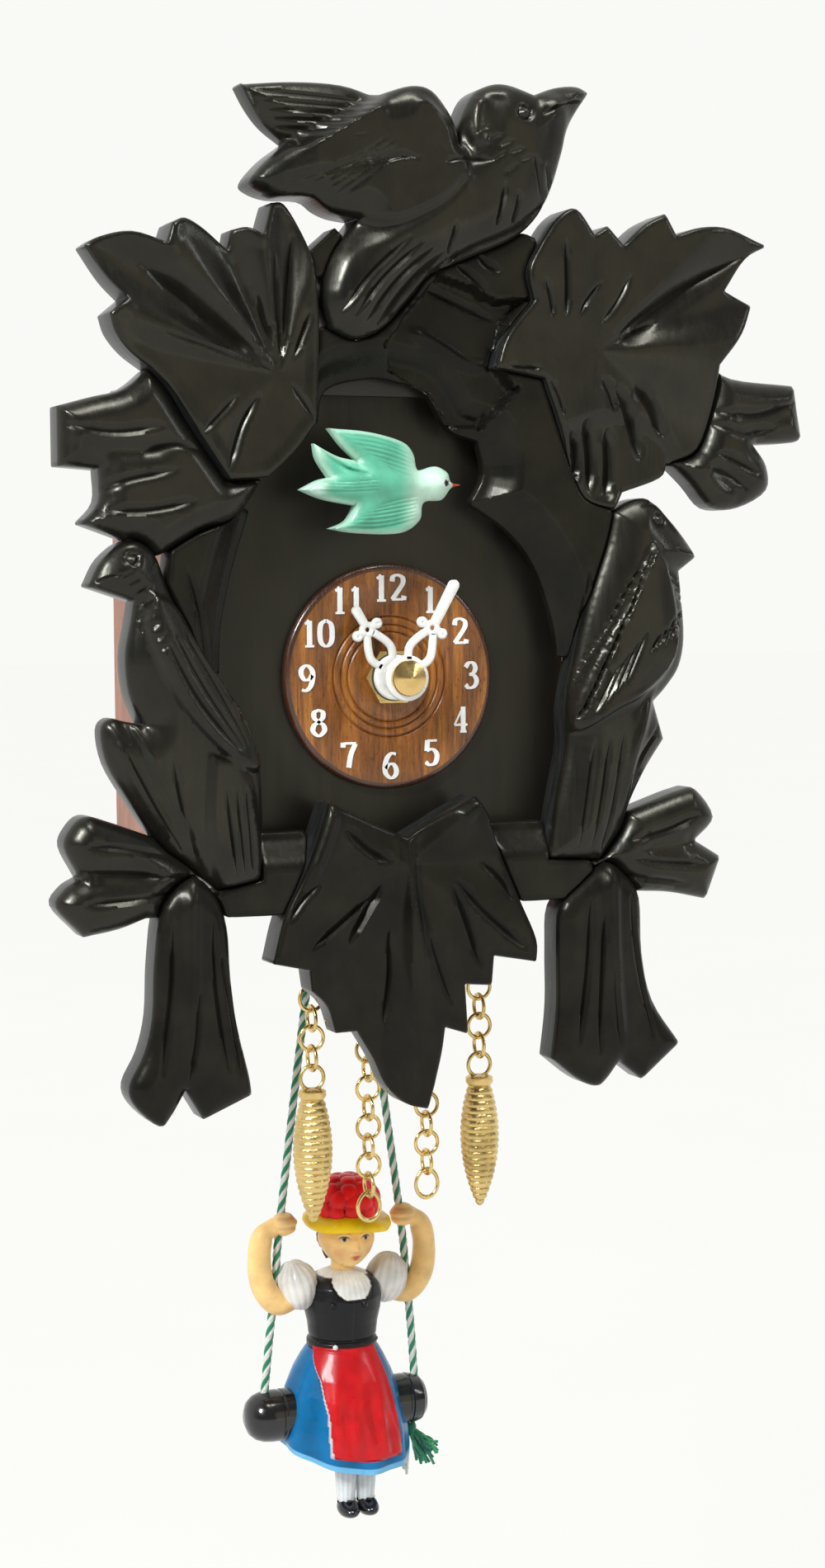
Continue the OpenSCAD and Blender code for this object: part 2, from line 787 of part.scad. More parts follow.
module third_wheel() {
    color("whitesmoke")
        at(at_third) {
            gear(gear_m, 48, y_third + 0.2, 0.8, a_inter, post_r + run_gap);
            sleeve(y_centre + 1.2, y_third - y_centre - 1, 0.7, post_r + run_gap);
            gear(gear_m, 8, y_centre, 1.2, a_third + 180 + 180 / 8, post_r + run_gap);
        }
}

module centre_wheel() {
    color("whitesmoke")
        at([0, 0]) {
            gear(gear_m, 48, y_centre + 0.2, 0.8, a_third, arbor_r + run_gap);
            sleeve(y_centre + 1, 0.6, 1.6, arbor_r + run_gap);
        }
}

module minute_arbor() {
    front_y = minute_y - hand_t - 1.5;
    color("silver")
        at([0, 0]) {
            pin(front_y, y_centre + 1.8 - front_y, arbor_r);
            pin(y_centre + 1.8, move_rear - 0.3 - y_centre - 1.8, 0.6);
            gear(gear_m, 12, y_motion - 0.1, 1.1, a_change + 180 / 12, 0.2);
        }
}

module change_wheel() {
    color("whitesmoke")
        at(at_change) {
            gear(gear_m, 36, y_motion, 0.8, a_change + 180, post_r + run_gap);
            gear(hour_m, 10, y_hour - 0.1, y_motion - y_hour + 0.1, a_change + 180 + 18,
                post_r + run_gap);
        }
}

module hour_wheel() {
    color("whitesmoke")
        at([0, 0]) {
            gear(hour_m, 40, y_hour, 1, a_change, arbor_r + run_gap);
            sleeve(hour_y - hand_t - 0.3, y_hour - hour_y + hand_t + 0.3, pipe_r,
                arbor_r + run_gap);
        }
}

module setting_knob() {
    color("black")
        at(at_knob) {
            gear(gear_m, 12, y_motion - 0.1, 1.1, a_knob + 180 + 15, 0.2);
            pin(y_motion + 1, cover_rear + 0.3 - y_motion - 1, 1);
            pin(in_front + 0.2, y_motion + 1.1 - in_front - 0.3, 0.8);
            pin(cover_rear + 0.3, 2.2, 4.5);
        }
}

bar_t = 1.5;
bar_y = swing_y - bar_t / 2;
module pendulum_bar() {
    color("silver") {
        difference() {
            union() {
                at([0, pivot_up])
                    pin(bar_y - 0.3, bar_t + 0.9, 2.2);
                translate([-1.5, bar_y, hook_z + 1])
                    cube([3, bar_t, pivot_z + 7 - hook_z - 1]);
            }
            at([0, pivot_up])
                pin(bar_y - 2, bar_t + 4, pivot_r + run_gap);
        }
        at([0, pivot_up + 6])
            pin(bar_y - 2.2, 2.3, 0.6);
        difference() {
            translate([-3, swing_y - 1.7, hook_z - 1])
                cube([6, 3.4, 2]);
            for (x = [-cord_top_x, cord_top_x])
                translate([x, swing_y, hook_z - 2])
                    cylinder(r = cord_r, h = 2.4, $fn = 32);
        }
    }
}

module pendulum_magnet() {
    color("dimgray")
        at([0, -11])
            pin(bar_y - 1.8, 1.8, 3);
}

crank_y = bar_y - 2;
module bird_crank() {
    lean = atan2(-bird_x, 6.5);
    color("silver") {
        at([bird_x, bird_z - dial_z])
            pin(face_y - 9.6, crank_y + 1.4 - face_y + 9.6, arbor_r);
        translate([bird_x, crank_y, bird_z])
            rotate([0, -lean, 0])
                difference() {
                    translate([-2.2, 0, -10.2])
                        cube([4.4, 1.4, 12.4]);
                    translate([-fork_gap, -1, -11])
                        cube([2 * fork_gap, 4, 5]);
                }
    }
}

module rocking_bird() {
    back = face_y - 8.4;
    color("mediumaquamarine")
        difference() {
            union() {
                upright(back, 2.4)
                    shape(P_GREEN_BIRD);
                translate([-12, back - 2.4, bird_z])
                    rotate([0, 90, 0])
                        rotate_extrude($fn = 32)
                            polygon([[0, 0], [1.4, 2], [2.4, 7], [2.2, 11], [1.2, 14.6],
                                [0, 15.4]]);
                translate([4.6, back - 1.8, bird_z - 0.4])
                    sphere(r = 2.3, $fn = 32);
            }
            at([bird_x, bird_z - dial_z])
                pin(face_y - 9.6, 4, arbor_r);
        }
}

// One round chain link; turned = 1 shows its edge to the front.
module link(x, y, z, turned) {
    translate([x, y, z])
        rotate([0, 0, 90 * turned])
            rotate([90, 0, 0])
                rotate_extrude($fn = 32)
                    translate([link_r, 0])
                        circle(r = wire_r, $fn = 16);
}

// A row of links hanging from an eye whose lowest wire centre is at height top.
module chain(x, y, top, n) {
    for (i = [0 : n - 1])
        link(x, y, top + hang_gap - link_r - i * pitch, i % 2);
}

x_left = -13.8;
x_right = 17.3;
x_in_left = -1;
x_in_right = 10;
low_drop = 3.9;
mid_drop = 0.8;
eye_stem_r = 0.5;
low_top = chain_top - low_drop;
mid_top = chain_top - mid_drop;
module eye(x, y, top) {
    translate([x, y, top + eye_r])
        rotate([0, 90, 0])
            rotate_extrude($fn = 32)
                translate([eye_r, 0])
                    circle(r = wire_r, $fn = 16);
    translate([x, y, top + 2 * eye_r])
        cylinder(r = eye_stem_r, h = bottom_z - top - 2 * eye_r, $fn = 16);
}

module chain_eyes() {
    color("gold") {
        eye(x_left, outer_y, chain_top);
        eye(x_right, outer_y, chain_top);
        eye(x_in_left, inner_y, low_top);
        eye(x_in_right, inner_y, mid_top);
    }
}

module chain_left() {
    color("gold")
        chain(x_left, outer_y, chain_top, outer_links);
}

module chain_right() {
    color("gold")
        chain(x_right, outer_y, chain_top, outer_links);
}

module chain_inner_left() {
    color("gold")
        chain(x_in_left, inner_y, low_top, inner_links);
}

module chain_inner_right() {
    color("gold")
        chain(x_in_right, inner_y, mid_top, inner_links);
}

// A ribbed cocoon-shaped weight with a collar and a hanging loop.
module weight(x) {
    loop_z = chain_top + hang_gap - link_r - outer_links * pitch;
    top = loop_z - link_r;
    ribs = 9;
    color("gold") {
        translate([x, outer_y, loop_z])
            rotate([90, 0, 0])
                rotate_extrude($fn = 32)
                    translate([link_r, 0])
                        circle(r = wire_r, $fn = 16);
        translate([x, outer_y, top])
            rotate_extrude($fn = 48)
                polygon(concat([[0, 0.2], [2.4, 0.2], [2.4, -1.4], [2.1, -1.8]],
                    [for (i = [0 : 2 * ribs])
                        let (t = i / (2 * ribs), u = 180 * (0.18 + 0.8 * t))
                        [max(0.3, weight_r * pow(sin(u), 0.75)) - (i % 2 == 0 ? 0.25 : 0),
                            -1.8 - weight_len * t]],
                    [[0, -1.8 - weight_len]]));
    }
}

module weight_left() {
    weight(x_left);
}

module weight_right() {
    weight(x_right);
}

// Ring of points around a cord centre line point.
function cord_dir(C, i) = let (a = C[max(0, i - 1)], b = C[min(len(C) - 1, i + 1)])
    (b - a) / norm(b - a);
function fine(C) = [for (i = [0 : len(C) - 2]) for (k = [0 : 11]) C[i] + (C[i + 1] - C[i]) * k / 12,
    C[len(C) - 1]];
function ring(c, d, r) = [for (j = [0 : 7])
    [c[0] + r * cos(45 * j) * -d[1], swing_y + r * sin(45 * j),
        dial_z + c[1] + r * cos(45 * j) * d[0]]];

module cord(C, r) {
    F = fine(C);
    n = len(F);
    pts = [for (i = [0 : n - 1]) each ring(F[i], cord_dir(F, i), r)];
    sides = [for (i = [0 : n - 2]) for (j = [0 : 7])
        [8 * i + j, 8 * i + (j + 1) % 8, 8 * i + 8 + (j + 1) % 8, 8 * i + 8 + j]];
    polyhedron(pts, concat([[for (j = [7 : -1 : 0]) j]], sides,
        [[for (j = [0 : 7]) 8 * (n - 1) + j]]));
}

module swing_cord_left() {
    color("seagreen")
        cord(C_LEFT, cord_r);
}

module swing_cord_right() {
    color("seagreen")
        cord(C_RIGHT, cord_r);
}

seat_half = 17;
seat_r = 4.6;
seat_z = dial_z - 133;
module seat_shape() {
    round_r = 3.4;
    translate([0, swing_y, seat_z])
        rotate([0, 90, 0])
            rotate_extrude()
                polygon(concat([[0, -seat_half]],
                    [for (a = [-90 : 15 : 0])
                        [seat_r - round_r + round_r * cos(a), -seat_half + round_r * (1 + sin(a))]],
                    [for (a = [0 : 15 : 90])
                        [seat_r - round_r + round_r * cos(a), seat_half - round_r * (1 - sin(a))]],
                    [[0, seat_half]]));
}

module swing_seat() {
    color("black")
        difference() {
            seat_shape();
            for (C = [C_LEFT, C_RIGHT])
                translate([C[len(C) - 1][0], swing_y, seat_z + 2.2])
                    cylinder(r = cord_r, h = 6, $fn = 32);
        }
}

module cord_tassel() {
    color("seagreen")
        difference() {
            translate([13.2, swing_y, seat_z - seat_r - 0.6]) {
                sphere(r = 1.1, $fn = 24);
                rotate([0, 148, 0])
                    cylinder(r1 = 0.8, r2 = 2.6, h = 8, $fn = 32);
            }
            seat_shape();
        }
}

head_z = dial_z - 103;
head_r = 5.3;
neck_z = dial_z - 109.6;
neck_r = 2.3;
neck_h = 4;
hat_z = dial_z - 100;
module doll_head() {
    color("navajowhite")
        difference() {
            union() {
                translate([0, doll_y, head_z])
                    sphere(r = head_r);
                translate([0, doll_y, neck_z])
                    cylinder(r = neck_r, h = neck_h, $fn = 32);
            }
            translate([-8, doll_y - 8, hat_z])
                cube([16, 16, 8]);
        }
}

module doll_hat() {
    color("crimson")
        translate([0, doll_y, hat_z])
            rotate_extrude()
                polygon([[0, 0], [8, 0], [8.1, 0.5], [7.8, 1], [6.7, 1.6], [6.4, 4], [5.9, 7],
                    [4.8, 8.4], [3, 9], [0, 9.2]]);
}

module doll_trunk() {
    translate([0, doll_y, dial_z])
        rotate_extrude()
            polygon([[0, -108.6], [4, -108.6], [6, -110.5], [6.2, -114], [5.4, -118],
                [5.4, -121], [6.6, -123], [9, -128], [11, -134], [11.8, -139],
                [11, -143.6], [0, -143.6]]);
}

module doll_body() {
    color("royalblue")
        difference() {
            doll_trunk();
            translate([0, doll_y, neck_z])
                cylinder(r = neck_r, h = neck_h, $fn = 32);
            seat_shape();
        }
}

arm_x = 10.2;
arm_r = 1.95;
arm_bend_r = 7.4;
fist_r = 2.4;
sleeve_r = 3.9;

// Both bent arms, each a half ring from the sleeve up to a round fist on the cord.
module doll_arm_shapes() {
    for (s = [0, 1])
        translate([0, doll_y, 0])
            rotate([0, 0, 180 * s]) {
                translate([arm_x, 0, dial_z - 105.6])
                    rotate([90, 0, 0])
                        rotate([0, 0, -90])
                            rotate_extrude(angle = 180)
                                translate([arm_bend_r, 0])
                                    circle(r = arm_r, $fn = 32);
                translate([11.4, 0, dial_z - 98])
                    sphere(r = fist_r, $fn = 32);
            }
}

module doll_arms() {
    color("navajowhite")
        difference() {
            union() {
                doll_arm_shapes();
                for (s = [-1, 1])
                    translate([8.8 * s, doll_y, dial_z - 112])
                        sphere(r = sleeve_r, $fn = 32);
            }
            doll_trunk();
            for (C = [C_LEFT, C_RIGHT]) {
                a = C[len(C) - 4];
                d = C[len(C) - 3] - C[len(C) - 5];
                translate([a[0], swing_y, dial_z + a[1]])
                    rotate([0, atan2(d[0], d[1]), 0])
                        translate([0, 0, -5])
                            cylinder(r = cord_r, h = 10, $fn = 32);
            }
        }
}

leg_x = 1.95;
leg_r = 1.85;
leg_out = 5.5;
module doll_legs() {
    color("white")
        for (s = [-1, 1])
            translate([leg_x * s, doll_y - leg_out, dial_z]) {
                translate([0, 0, -149.5])
                    cylinder(r = leg_r, h = 5.9, $fn = 32);
                difference() {
                    union() {
                        translate([0, 0, -152.3])
                            cylinder(r = 1.9, h = 2.8, $fn = 32);
                        translate([0, -2.4, -150.9])
                            sphere(r = 1.9, $fn = 32);
                    }
                    translate([-4, -8, -156.3])
                        cube([8, 12, 4]);
                }
            }
}

front_board();
dial_board();
top_bird();
left_bird();
right_bird();
left_leaf();
right_leaf();
bottom_leaf();
left_foot();
right_foot();
left_upper_branch();
right_upper_branch();
left_lower_branch();
right_lower_branch();
case_left();
case_right();
case_top();
case_bottom();
back_panel();
hanger_plate();
dial();
mounting_nut();
hour_hand();
minute_hand();
hand_nut();
movement_housing();
movement_cover();
battery();
circuit_board();
stator();
motor_coil();
drive_coil();
rotor();
intermediate_wheel();
third_wheel();
centre_wheel();
minute_arbor();
change_wheel();
hour_wheel();
setting_knob();
pendulum_bar();
pendulum_magnet();
rocking_bird();
bird_crank();
chain_eyes();
chain_left();
chain_right();
chain_inner_left();
chain_inner_right();
weight_left();
weight_right();
swing_cord_left();
swing_cord_right();
cord_tassel();
swing_seat();
doll_body();
doll_head();
doll_hat();
doll_arms();
doll_legs();
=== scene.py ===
import math
import random

import bmesh
import bpy
import numpy as np
from mathutils import Matrix, Vector
from mathutils.geometry import delaunay_2d_cdt


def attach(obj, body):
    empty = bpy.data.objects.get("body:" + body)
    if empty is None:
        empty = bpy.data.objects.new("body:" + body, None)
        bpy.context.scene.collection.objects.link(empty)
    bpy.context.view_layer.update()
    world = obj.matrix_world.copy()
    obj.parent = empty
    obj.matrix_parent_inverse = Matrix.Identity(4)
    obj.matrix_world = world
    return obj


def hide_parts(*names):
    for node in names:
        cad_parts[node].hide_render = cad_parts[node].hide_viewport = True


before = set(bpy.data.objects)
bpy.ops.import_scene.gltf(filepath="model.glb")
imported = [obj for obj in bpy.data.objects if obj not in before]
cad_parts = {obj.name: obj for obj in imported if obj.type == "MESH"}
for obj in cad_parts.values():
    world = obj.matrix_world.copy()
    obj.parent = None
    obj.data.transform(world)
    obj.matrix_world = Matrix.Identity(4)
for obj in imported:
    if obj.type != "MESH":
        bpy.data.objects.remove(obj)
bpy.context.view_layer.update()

# The clock is described in millimetres: x right and z up from the dial's centre, y as in the shared frame,
# where the wall is y = 0 and the front faces -y.
MM = 0.001
DIAL_Z = -44.0
SWING_Y = -16.0
BACK_Y = -44.0
TINY = 1e-9

scene = bpy.context.scene
scene.view_settings.view_transform = "Standard"

# ---------------------------------------------------------------- camera
AZIMUTH, DOWN, ROLL = math.radians(22.7), math.radians(4.18), math.radians(0.41)
forward = Vector((math.sin(AZIMUTH) * math.cos(DOWN), math.cos(AZIMUTH) * math.cos(DOWN), -math.sin(DOWN)))
level = Vector((math.cos(AZIMUTH), -math.sin(AZIMUTH), 0))
upward = level.cross(forward)
right = level * math.cos(ROLL) - upward * math.sin(ROLL)
upward = right.cross(forward)
cam_data = bpy.data.cameras.new("camera")
cam_data.sensor_fit = "VERTICAL"
cam_data.sensor_height = 36
cam_data.lens = 61.97
cam_data.clip_start = 0.01
camera = bpy.data.objects.new("camera", cam_data)
scene.collection.objects.link(camera)
AIM = Vector((0.004, -0.0416, -0.0623))
CAMERA_AWAY = 0.4593
spot = AIM - forward * CAMERA_AWAY
camera.matrix_world = Matrix((
    (right.x, upward.x, -forward.x, spot.x),
    (right.y, upward.y, -forward.y, spot.y),
    (right.z, upward.z, -forward.z, spot.z),
    (0, 0, 0, 1)))
scene.camera = camera


# ---------------------------------------------------------------- materials
class Nodes:
    """A short way to build a material's node tree."""

    def __init__(self, name, base, rough=0.5, metal=0.0, coat=0.0, coat_rough=0.05, spec=0.5, sheen=0.0):
        self.mat = bpy.data.materials.new(name)
        self.mat.use_nodes = True
        self.tree = self.mat.node_tree
        self.shader = self.tree.nodes["Principled BSDF"]
        self.set("Base Color", (*base, 1))
        self.set("Roughness", rough)
        self.set("Metallic", metal)
        self.set("Coat Weight", coat)
        self.set("Coat Roughness", coat_rough)
        self.set("Specular IOR Level", spec)
        self.set("Sheen Weight", sheen)
        self.place = self.add("ShaderNodeTexCoord").outputs["Object"]
        self.height = None

    def set(self, socket, value):
        self.shader.inputs[socket].default_value = value

    def add(self, kind, **fields):
        node = self.tree.nodes.new(kind)
        for key, value in fields.items():
            setattr(node, key, value)
        return node

    def link(self, a, b):
        self.tree.links.new(a, b)

    def feed(self, node, values):
        for key, value in values.items():
            if hasattr(value, "is_linked"):
                self.link(value, node.inputs[key])
            else:
                node.inputs[key].default_value = value
        return node

    def stretch(self, scale):
        node = self.add("ShaderNodeMapping")
        return self.feed(node, {"Vector": self.place, "Scale": scale}).outputs["Vector"]

    def noise(self, scale, detail=4, rough=0.55, distort=0.0, vector=None):
        node = self.add("ShaderNodeTexNoise")
        self.feed(node, {"Vector": vector or self.place, "Scale": scale, "Detail": detail,
                         "Roughness": rough, "Distortion": distort})
        return node.outputs["Fac"]

    def ramp(self, value, stops):
        node = self.add("ShaderNodeValToRGB")
        self.link(value, node.inputs["Fac"])
        points = node.color_ramp.elements
        while len(points) < len(stops):
            points.new(0.5)
        for point, (where, color) in zip(points, stops):
            point.position = where
            point.color = (*color, 1)
        return node.outputs["Color"]

    def math(self, kind, a, b):
        return self.feed(self.add("ShaderNodeMath", operation=kind), {0: a, 1: b}).outputs[0]

    def span(self, value, low, high, out_low=0.0, out_high=1.0):
        node = self.add("ShaderNodeMapRange")
        self.feed(node, {"Value": value, "From Min": low, "From Max": high,
                         "To Min": out_low, "To Max": out_high})
        return node.outputs["Result"]

    def mix(self, amount, a, b, blend="MIX"):
        node = self.add("ShaderNodeMix", data_type="RGBA", blend_type=blend)
        for key, value in (("Factor", amount), ("A", a), ("B", b)):
            socket = next(s for s in node.inputs if s.name == key and s.enabled)
            if hasattr(value, "is_linked"):
                self.link(value, socket)
            elif key == "Factor":
                socket.default_value = value
            else:
                socket.default_value = (*value, 1)
        return next(s for s in node.outputs if s.enabled)

    def color(self, value):
        self.link(value, self.shader.inputs["Base Color"])

    def rough(self, value, low, high):
        self.link(self.span(value, 0.3, 0.7, low, high), self.shader.inputs["Roughness"])

    def bump(self, value, distance, strength=1.0):
        node = self.add("ShaderNodeBump")
        self.feed(node, {"Height": value, "Distance": distance, "Strength": strength})
        if self.height is not None:
            self.link(self.height, node.inputs["Normal"])
        self.height = node.outputs["Normal"]
        self.link(self.height, self.shader.inputs["Normal"])

    def attribute(self, name):
        return self.add("ShaderNodeAttribute", attribute_name=name).outputs["Color"]


WARM_GLOSS = (0.97, 0.95, 0.8, 1)


def lacquer(name, spec):
    """Black lacquer over carved wood, with faint upright grain, dust and worn patches."""
    n = Nodes(name, (0.008, 0.0075, 0.006), 0.2, coat=0.05, coat_rough=0.06, spec=spec)
    n.set("Specular Tint", WARM_GLOSS)
    grain = n.noise(60, 5, 0.6, 0.4, n.stretch((14, 14, 1)))
    dust = n.noise(900, 3)
    wear = n.noise(140, 4)
    n.color(n.ramp(wear, [(0.3, (0.004, 0.004, 0.0036)), (0.7, (0.0115, 0.0105, 0.0072))]))
    n.rough(grain, 0.23, 0.33)
    n.bump(grain, 0.00008, 0.35)
    n.bump(dust, 0.00003, 0.3)
    return n.mat


def edge_lacquer():
    """Lacquer on the sawn edges, with fine lines running along them; greyer than the front, as a painted
    reflection of the bright surroundings on these grazing faces.
    """
    n = Nodes("lacquer_edge", (0.02, 0.021, 0.02), 0.26, coat=0.2, coat_rough=0.12, spec=0.4)
    fibre = n.noise(160, 4, 0.6, 0.2, n.stretch((1, 7, 1)))
    # The lighter ramp is a painted reflection of the bright surroundings on the edges.
    n.color(n.ramp(fibre, [(0.3, (0.008, 0.0085, 0.008)), (0.75, (0.024, 0.026, 0.025))]))
    n.rough(fibre, 0.22, 0.34)
    n.bump(fibre, 0.00012, 0.4)
    return n.mat


def timber(name, dark, middle, light, scale, rough, coat, pores=0.5):
    """Upright wood grain from three tones, with short dark pores."""
    n = Nodes(name, middle, rough, coat=coat, coat_rough=0.12)
    along = n.stretch((1, 1, 0.09))
    bands = n.noise(scale, 6, 0.62, 1.6, along)
    fine = n.noise(scale * 9, 5, 0.7, 0.3, along)
    spots = n.noise(scale * 26, 2, 0.5, 0.0, n.stretch((1, 1, 0.16)))
    tone = n.mix(0.35, n.ramp(bands, [(0.28, dark), (0.5, middle), (0.72, light)]),
                 n.ramp(fine, [(0.3, dark), (0.7, light)]))
    pore = n.span(spots, 0.62, 0.72)
    n.color(n.mix(n.math("MULTIPLY", pore, pores), tone, tuple(c * 0.3 for c in dark)))
    n.rough(fine, rough - 0.06, rough + 0.08)
    n.bump(fine, 0.00012, 0.35)
    n.bump(n.math("MULTIPLY", pore, -1.0), 0.0001, 0.4)
    return n.mat


def metal(name, color, dark, rough, grain=(1, 1, 1), scale=500, bump=0.00004):
    """Metal with tarnished patches and a fine brushed or cast surface."""
    n = Nodes(name, color, rough, metal=1.0)
    tarnish = n.noise(150, 5, 0.6)
    brushed = n.noise(scale, 4, 0.6, 0.0, n.stretch(grain))
    n.color(n.mix(n.span(tarnish, 0.45, 0.75), color, dark))
    n.rough(brushed, rough - 0.08, rough + 0.1)
    n.bump(brushed, bump, 0.5)
    return n.mat


def enamel(name, color, shade, rough, coat, scale=260, bump=0.00012):
    """Paint or plastic of one colour that pools toward a second shade."""
    n = Nodes(name, color, rough, coat=coat, coat_rough=0.06)
    pool = n.noise(scale, 4, 0.5, 0.4)
    speck = n.noise(scale * 6, 3)
    n.color(n.mix(n.math("MULTIPLY", n.span(pool, 0.35, 0.7), 0.5), color, shade))
    n.rough(speck, rough - 0.05, rough + 0.08)
    n.bump(pool, bump, 0.35)
    n.bump(speck, 0.00003, 0.25)
    return n.mat


def yarn(name):
    """Fuzzy cord yarn coloured by the piece's own tint."""
    n = Nodes(name, (0.8, 0.8, 0.8), 0.8, sheen=0.4, spec=0.25)
    fibre = n.noise(2600, 4, 0.7, 0.6, n.stretch((1, 1, 0.35)))
    n.color(n.mix(n.span(fibre, 0.3, 0.75, 0.0, 0.35), n.attribute("tint"), (0.02, 0.05, 0.03)))
    n.bump(fibre, 0.00012, 0.6)
    return n.mat


LACQUER = lacquer("black_lacquer", 0.36)
# A darker copy of the lacquer with less gloss: painted shade for the lower pieces and the frame behind the
# leaves.
SHADED_LACQUER = lacquer("shaded_lacquer", 0.16)
LACQUER_EDGE = edge_lacquer()
CASE_TONES = (0.13, 0.042, 0.02), (0.28, 0.105, 0.058), (0.4, 0.17, 0.1)
CASE_WOOD = timber("case_wood", *CASE_TONES, 120, 0.42, 0.15)
PANEL_WOOD = timber("panel_wood", (0.3, 0.19, 0.1), (0.46, 0.31, 0.17), (0.58, 0.42, 0.26), 90, 0.6, 0.0)
BRASS = metal("brass", (0.82, 0.62, 0.26), (0.46, 0.31, 0.10), 0.22)
CAST_BRASS = metal("cast_brass", (0.78, 0.58, 0.24), (0.36, 0.25, 0.08), 0.32, scale=900, bump=0.00016)
STEEL = metal("steel", (0.62, 0.62, 0.64), (0.35, 0.35, 0.37), 0.32, (1, 1, 8))
COPPER = metal("copper_wire", (0.75, 0.33, 0.14), (0.4, 0.15, 0.06), 0.35, (1, 1, 1), 1400, 0.0001)
GREY_PLASTIC = enamel("grey_plastic", (0.035, 0.035, 0.038), (0.06, 0.06, 0.06), 0.5, 0.0, 700, 0.00006)
PALE_PLASTIC = enamel("natural_plastic", (0.72, 0.71, 0.66), (0.6, 0.58, 0.5), 0.45, 0.0, 500)
BOARD_GREEN = enamel("board_green", (0.02, 0.14, 0.05), (0.01, 0.08, 0.03), 0.35, 0.3)
BATTERY_SKIN = enamel("battery_skin", (0.62, 0.25, 0.03), (0.45, 0.16, 0.02), 0.3, 0.5)


# ---------------------------------------------------------------- mesh helpers
def build(name, verts, faces, mats, body, replaces=(), face_mats=None, sharp=38, tint=None):
    """A mesh piece from points in millimetres in the shared frame, riding on a body."""
    mesh = bpy.data.meshes.new(name)
    mesh.from_pydata((np.asarray(verts, float) * MM).tolist(), [], [tuple(int(i) for i in f) for f in faces])
    for mat in mats:
        mesh.materials.append(mat)
    if face_mats is not None:
        mesh.polygons.foreach_set("material_index", np.asarray(face_mats, dtype=np.int32))
    if tint is not None:
        layer = mesh.color_attributes.new("tint", "FLOAT_COLOR", "POINT")
        rgba = np.ones((len(mesh.vertices), 4))
        rgba[:, :3] = tint
        layer.data.foreach_set("color", rgba.ravel())
    mesh.polygons.foreach_set("use_smooth", [True] * len(mesh.polygons))
    mesh.validate()
    mesh.update()
    obj = bpy.data.objects.new(name, mesh)
    scene.collection.objects.link(obj)
    work = bmesh.new()
    work.from_mesh(mesh)
    bmesh.ops.recalc_face_normals(work, faces=work.faces)
    work.to_mesh(mesh)
    work.free()
    mesh.set_sharp_from_angle(angle=math.radians(sharp))
    if body:
        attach(obj, body)
    if replaces:
        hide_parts(*replaces)
    return obj


class Heap:
    """Collects the points and faces of several shells for one piece."""

    def __init__(self):
        self.verts, self.faces, self.mats, self.tints = [], [], [], []

    def put(self, verts, faces, mat=0, tint=(1, 1, 1)):
        start = len(self.verts)
        self.verts += [tuple(v) for v in verts]
        self.faces += [tuple(start + i for i in f) for f in faces]
        self.mats += [mat] * len(faces)
        self.tints += [tint] * len(verts) if np.ndim(tint) == 1 else [tuple(t) for t in tint]

    def put_grid(self, points, tint=(1, 1, 1), mat=0, caps=True):
        """Adds a shell given as rows x cols points, with one tint for all or one for each."""
        rows, cols, _ = points.shape
        tint = np.asarray(tint)
        self.put(points.reshape(-1, 3), rings_to_faces(rows, cols, caps), mat,
                 tint if tint.ndim == 1 else tint.reshape(-1, 3))

    def make(self, name, mats, body, replaces=(), slot=None, sharp=38, tinted=False):
        return build(name, self.verts, self.faces, mats, body, replaces, self.mats, sharp,
                     np.array(self.tints) if tinted else None)


def rings_to_faces(rows, cols, caps=True, joined=False):
    """Faces over rows x cols points in rings: capped, open, or with the last ring joined to the first."""
    faces = []
    for i in range(rows if joined else rows - 1):
        here, after = i * cols, (i + 1) % rows * cols
        for j in range(cols):
            k = (j + 1) % cols
            faces.append((here + j, here + k, after + k, after + j))
    if caps and not joined:
        faces.append(tuple(range(cols))[::-1])
        faces.append(tuple((rows - 1) * cols + j for j in range(cols)))
    return faces


def grid_of(rows, cols, low, high, start=0.0, end=2 * math.pi):
    """Two rows x cols tables: one rises from low to high by row, one goes round by column."""
    rising = np.linspace(low, high, rows)[:, None] * np.ones(cols)
    turning = np.linspace(start, end, cols, endpoint=False)[None, :] * np.ones((rows, 1))
    return rising, turning


def ball_grid(rows, cols):
    """Latitude and longitude, in radians, of the points of a ball."""
    return grid_of(rows, cols, -math.pi / 2 + 0.01, math.pi / 2 - 0.01)


def ball(up, turn):
    """Points of a ball of radius 1 at latitudes up and longitudes turn."""
    return np.stack([np.cos(up) * np.cos(turn), np.cos(up) * np.sin(turn), np.sin(up)], -1)


def normals(along):
    """Unit vectors a quarter turn to the left of flat ones."""
    return np.c_[-along[:, 1], along[:, 0]] / np.maximum(np.linalg.norm(along, axis=1), TINY)[:, None]


def lathe(profile, cols=48, place=(0, 0, 0), axis="z", wave=None):
    """Points and faces turned from (radius, height) pairs; wave(height index, angle) scales the radius."""
    verts = []
    for i, (r, h) in enumerate(profile):
        for j in range(cols):
            a = 2 * math.pi * j / cols
            q = max(r, 0.004) * (wave(i, a) if wave else 1)
            x, y = q * math.cos(a), q * math.sin(a)
            p = {"z": (x, y, h), "y": (x, -h, y), "x": (h, x, y)}[axis]
            verts.append((p[0] + place[0], p[1] + place[1], p[2] + place[2]))
    return verts, rings_to_faces(len(profile), cols)


def frames_along(path):
    """Unit tangents and two side vectors that turn as little as they can along a path."""
    path = np.asarray(path, float)
    tangent = np.gradient(path, axis=0)
    tangent /= np.linalg.norm(tangent, axis=1)[:, None]
    side = np.cross(tangent[0], (0.31, 0.87, 0.39))
    sides = []
    for t in tangent:
        side = side - t * np.dot(side, t)
        side = side / np.linalg.norm(side)
        sides.append(side.copy())
    sides = np.array(sides)
    return path, sides, np.cross(tangent, sides)


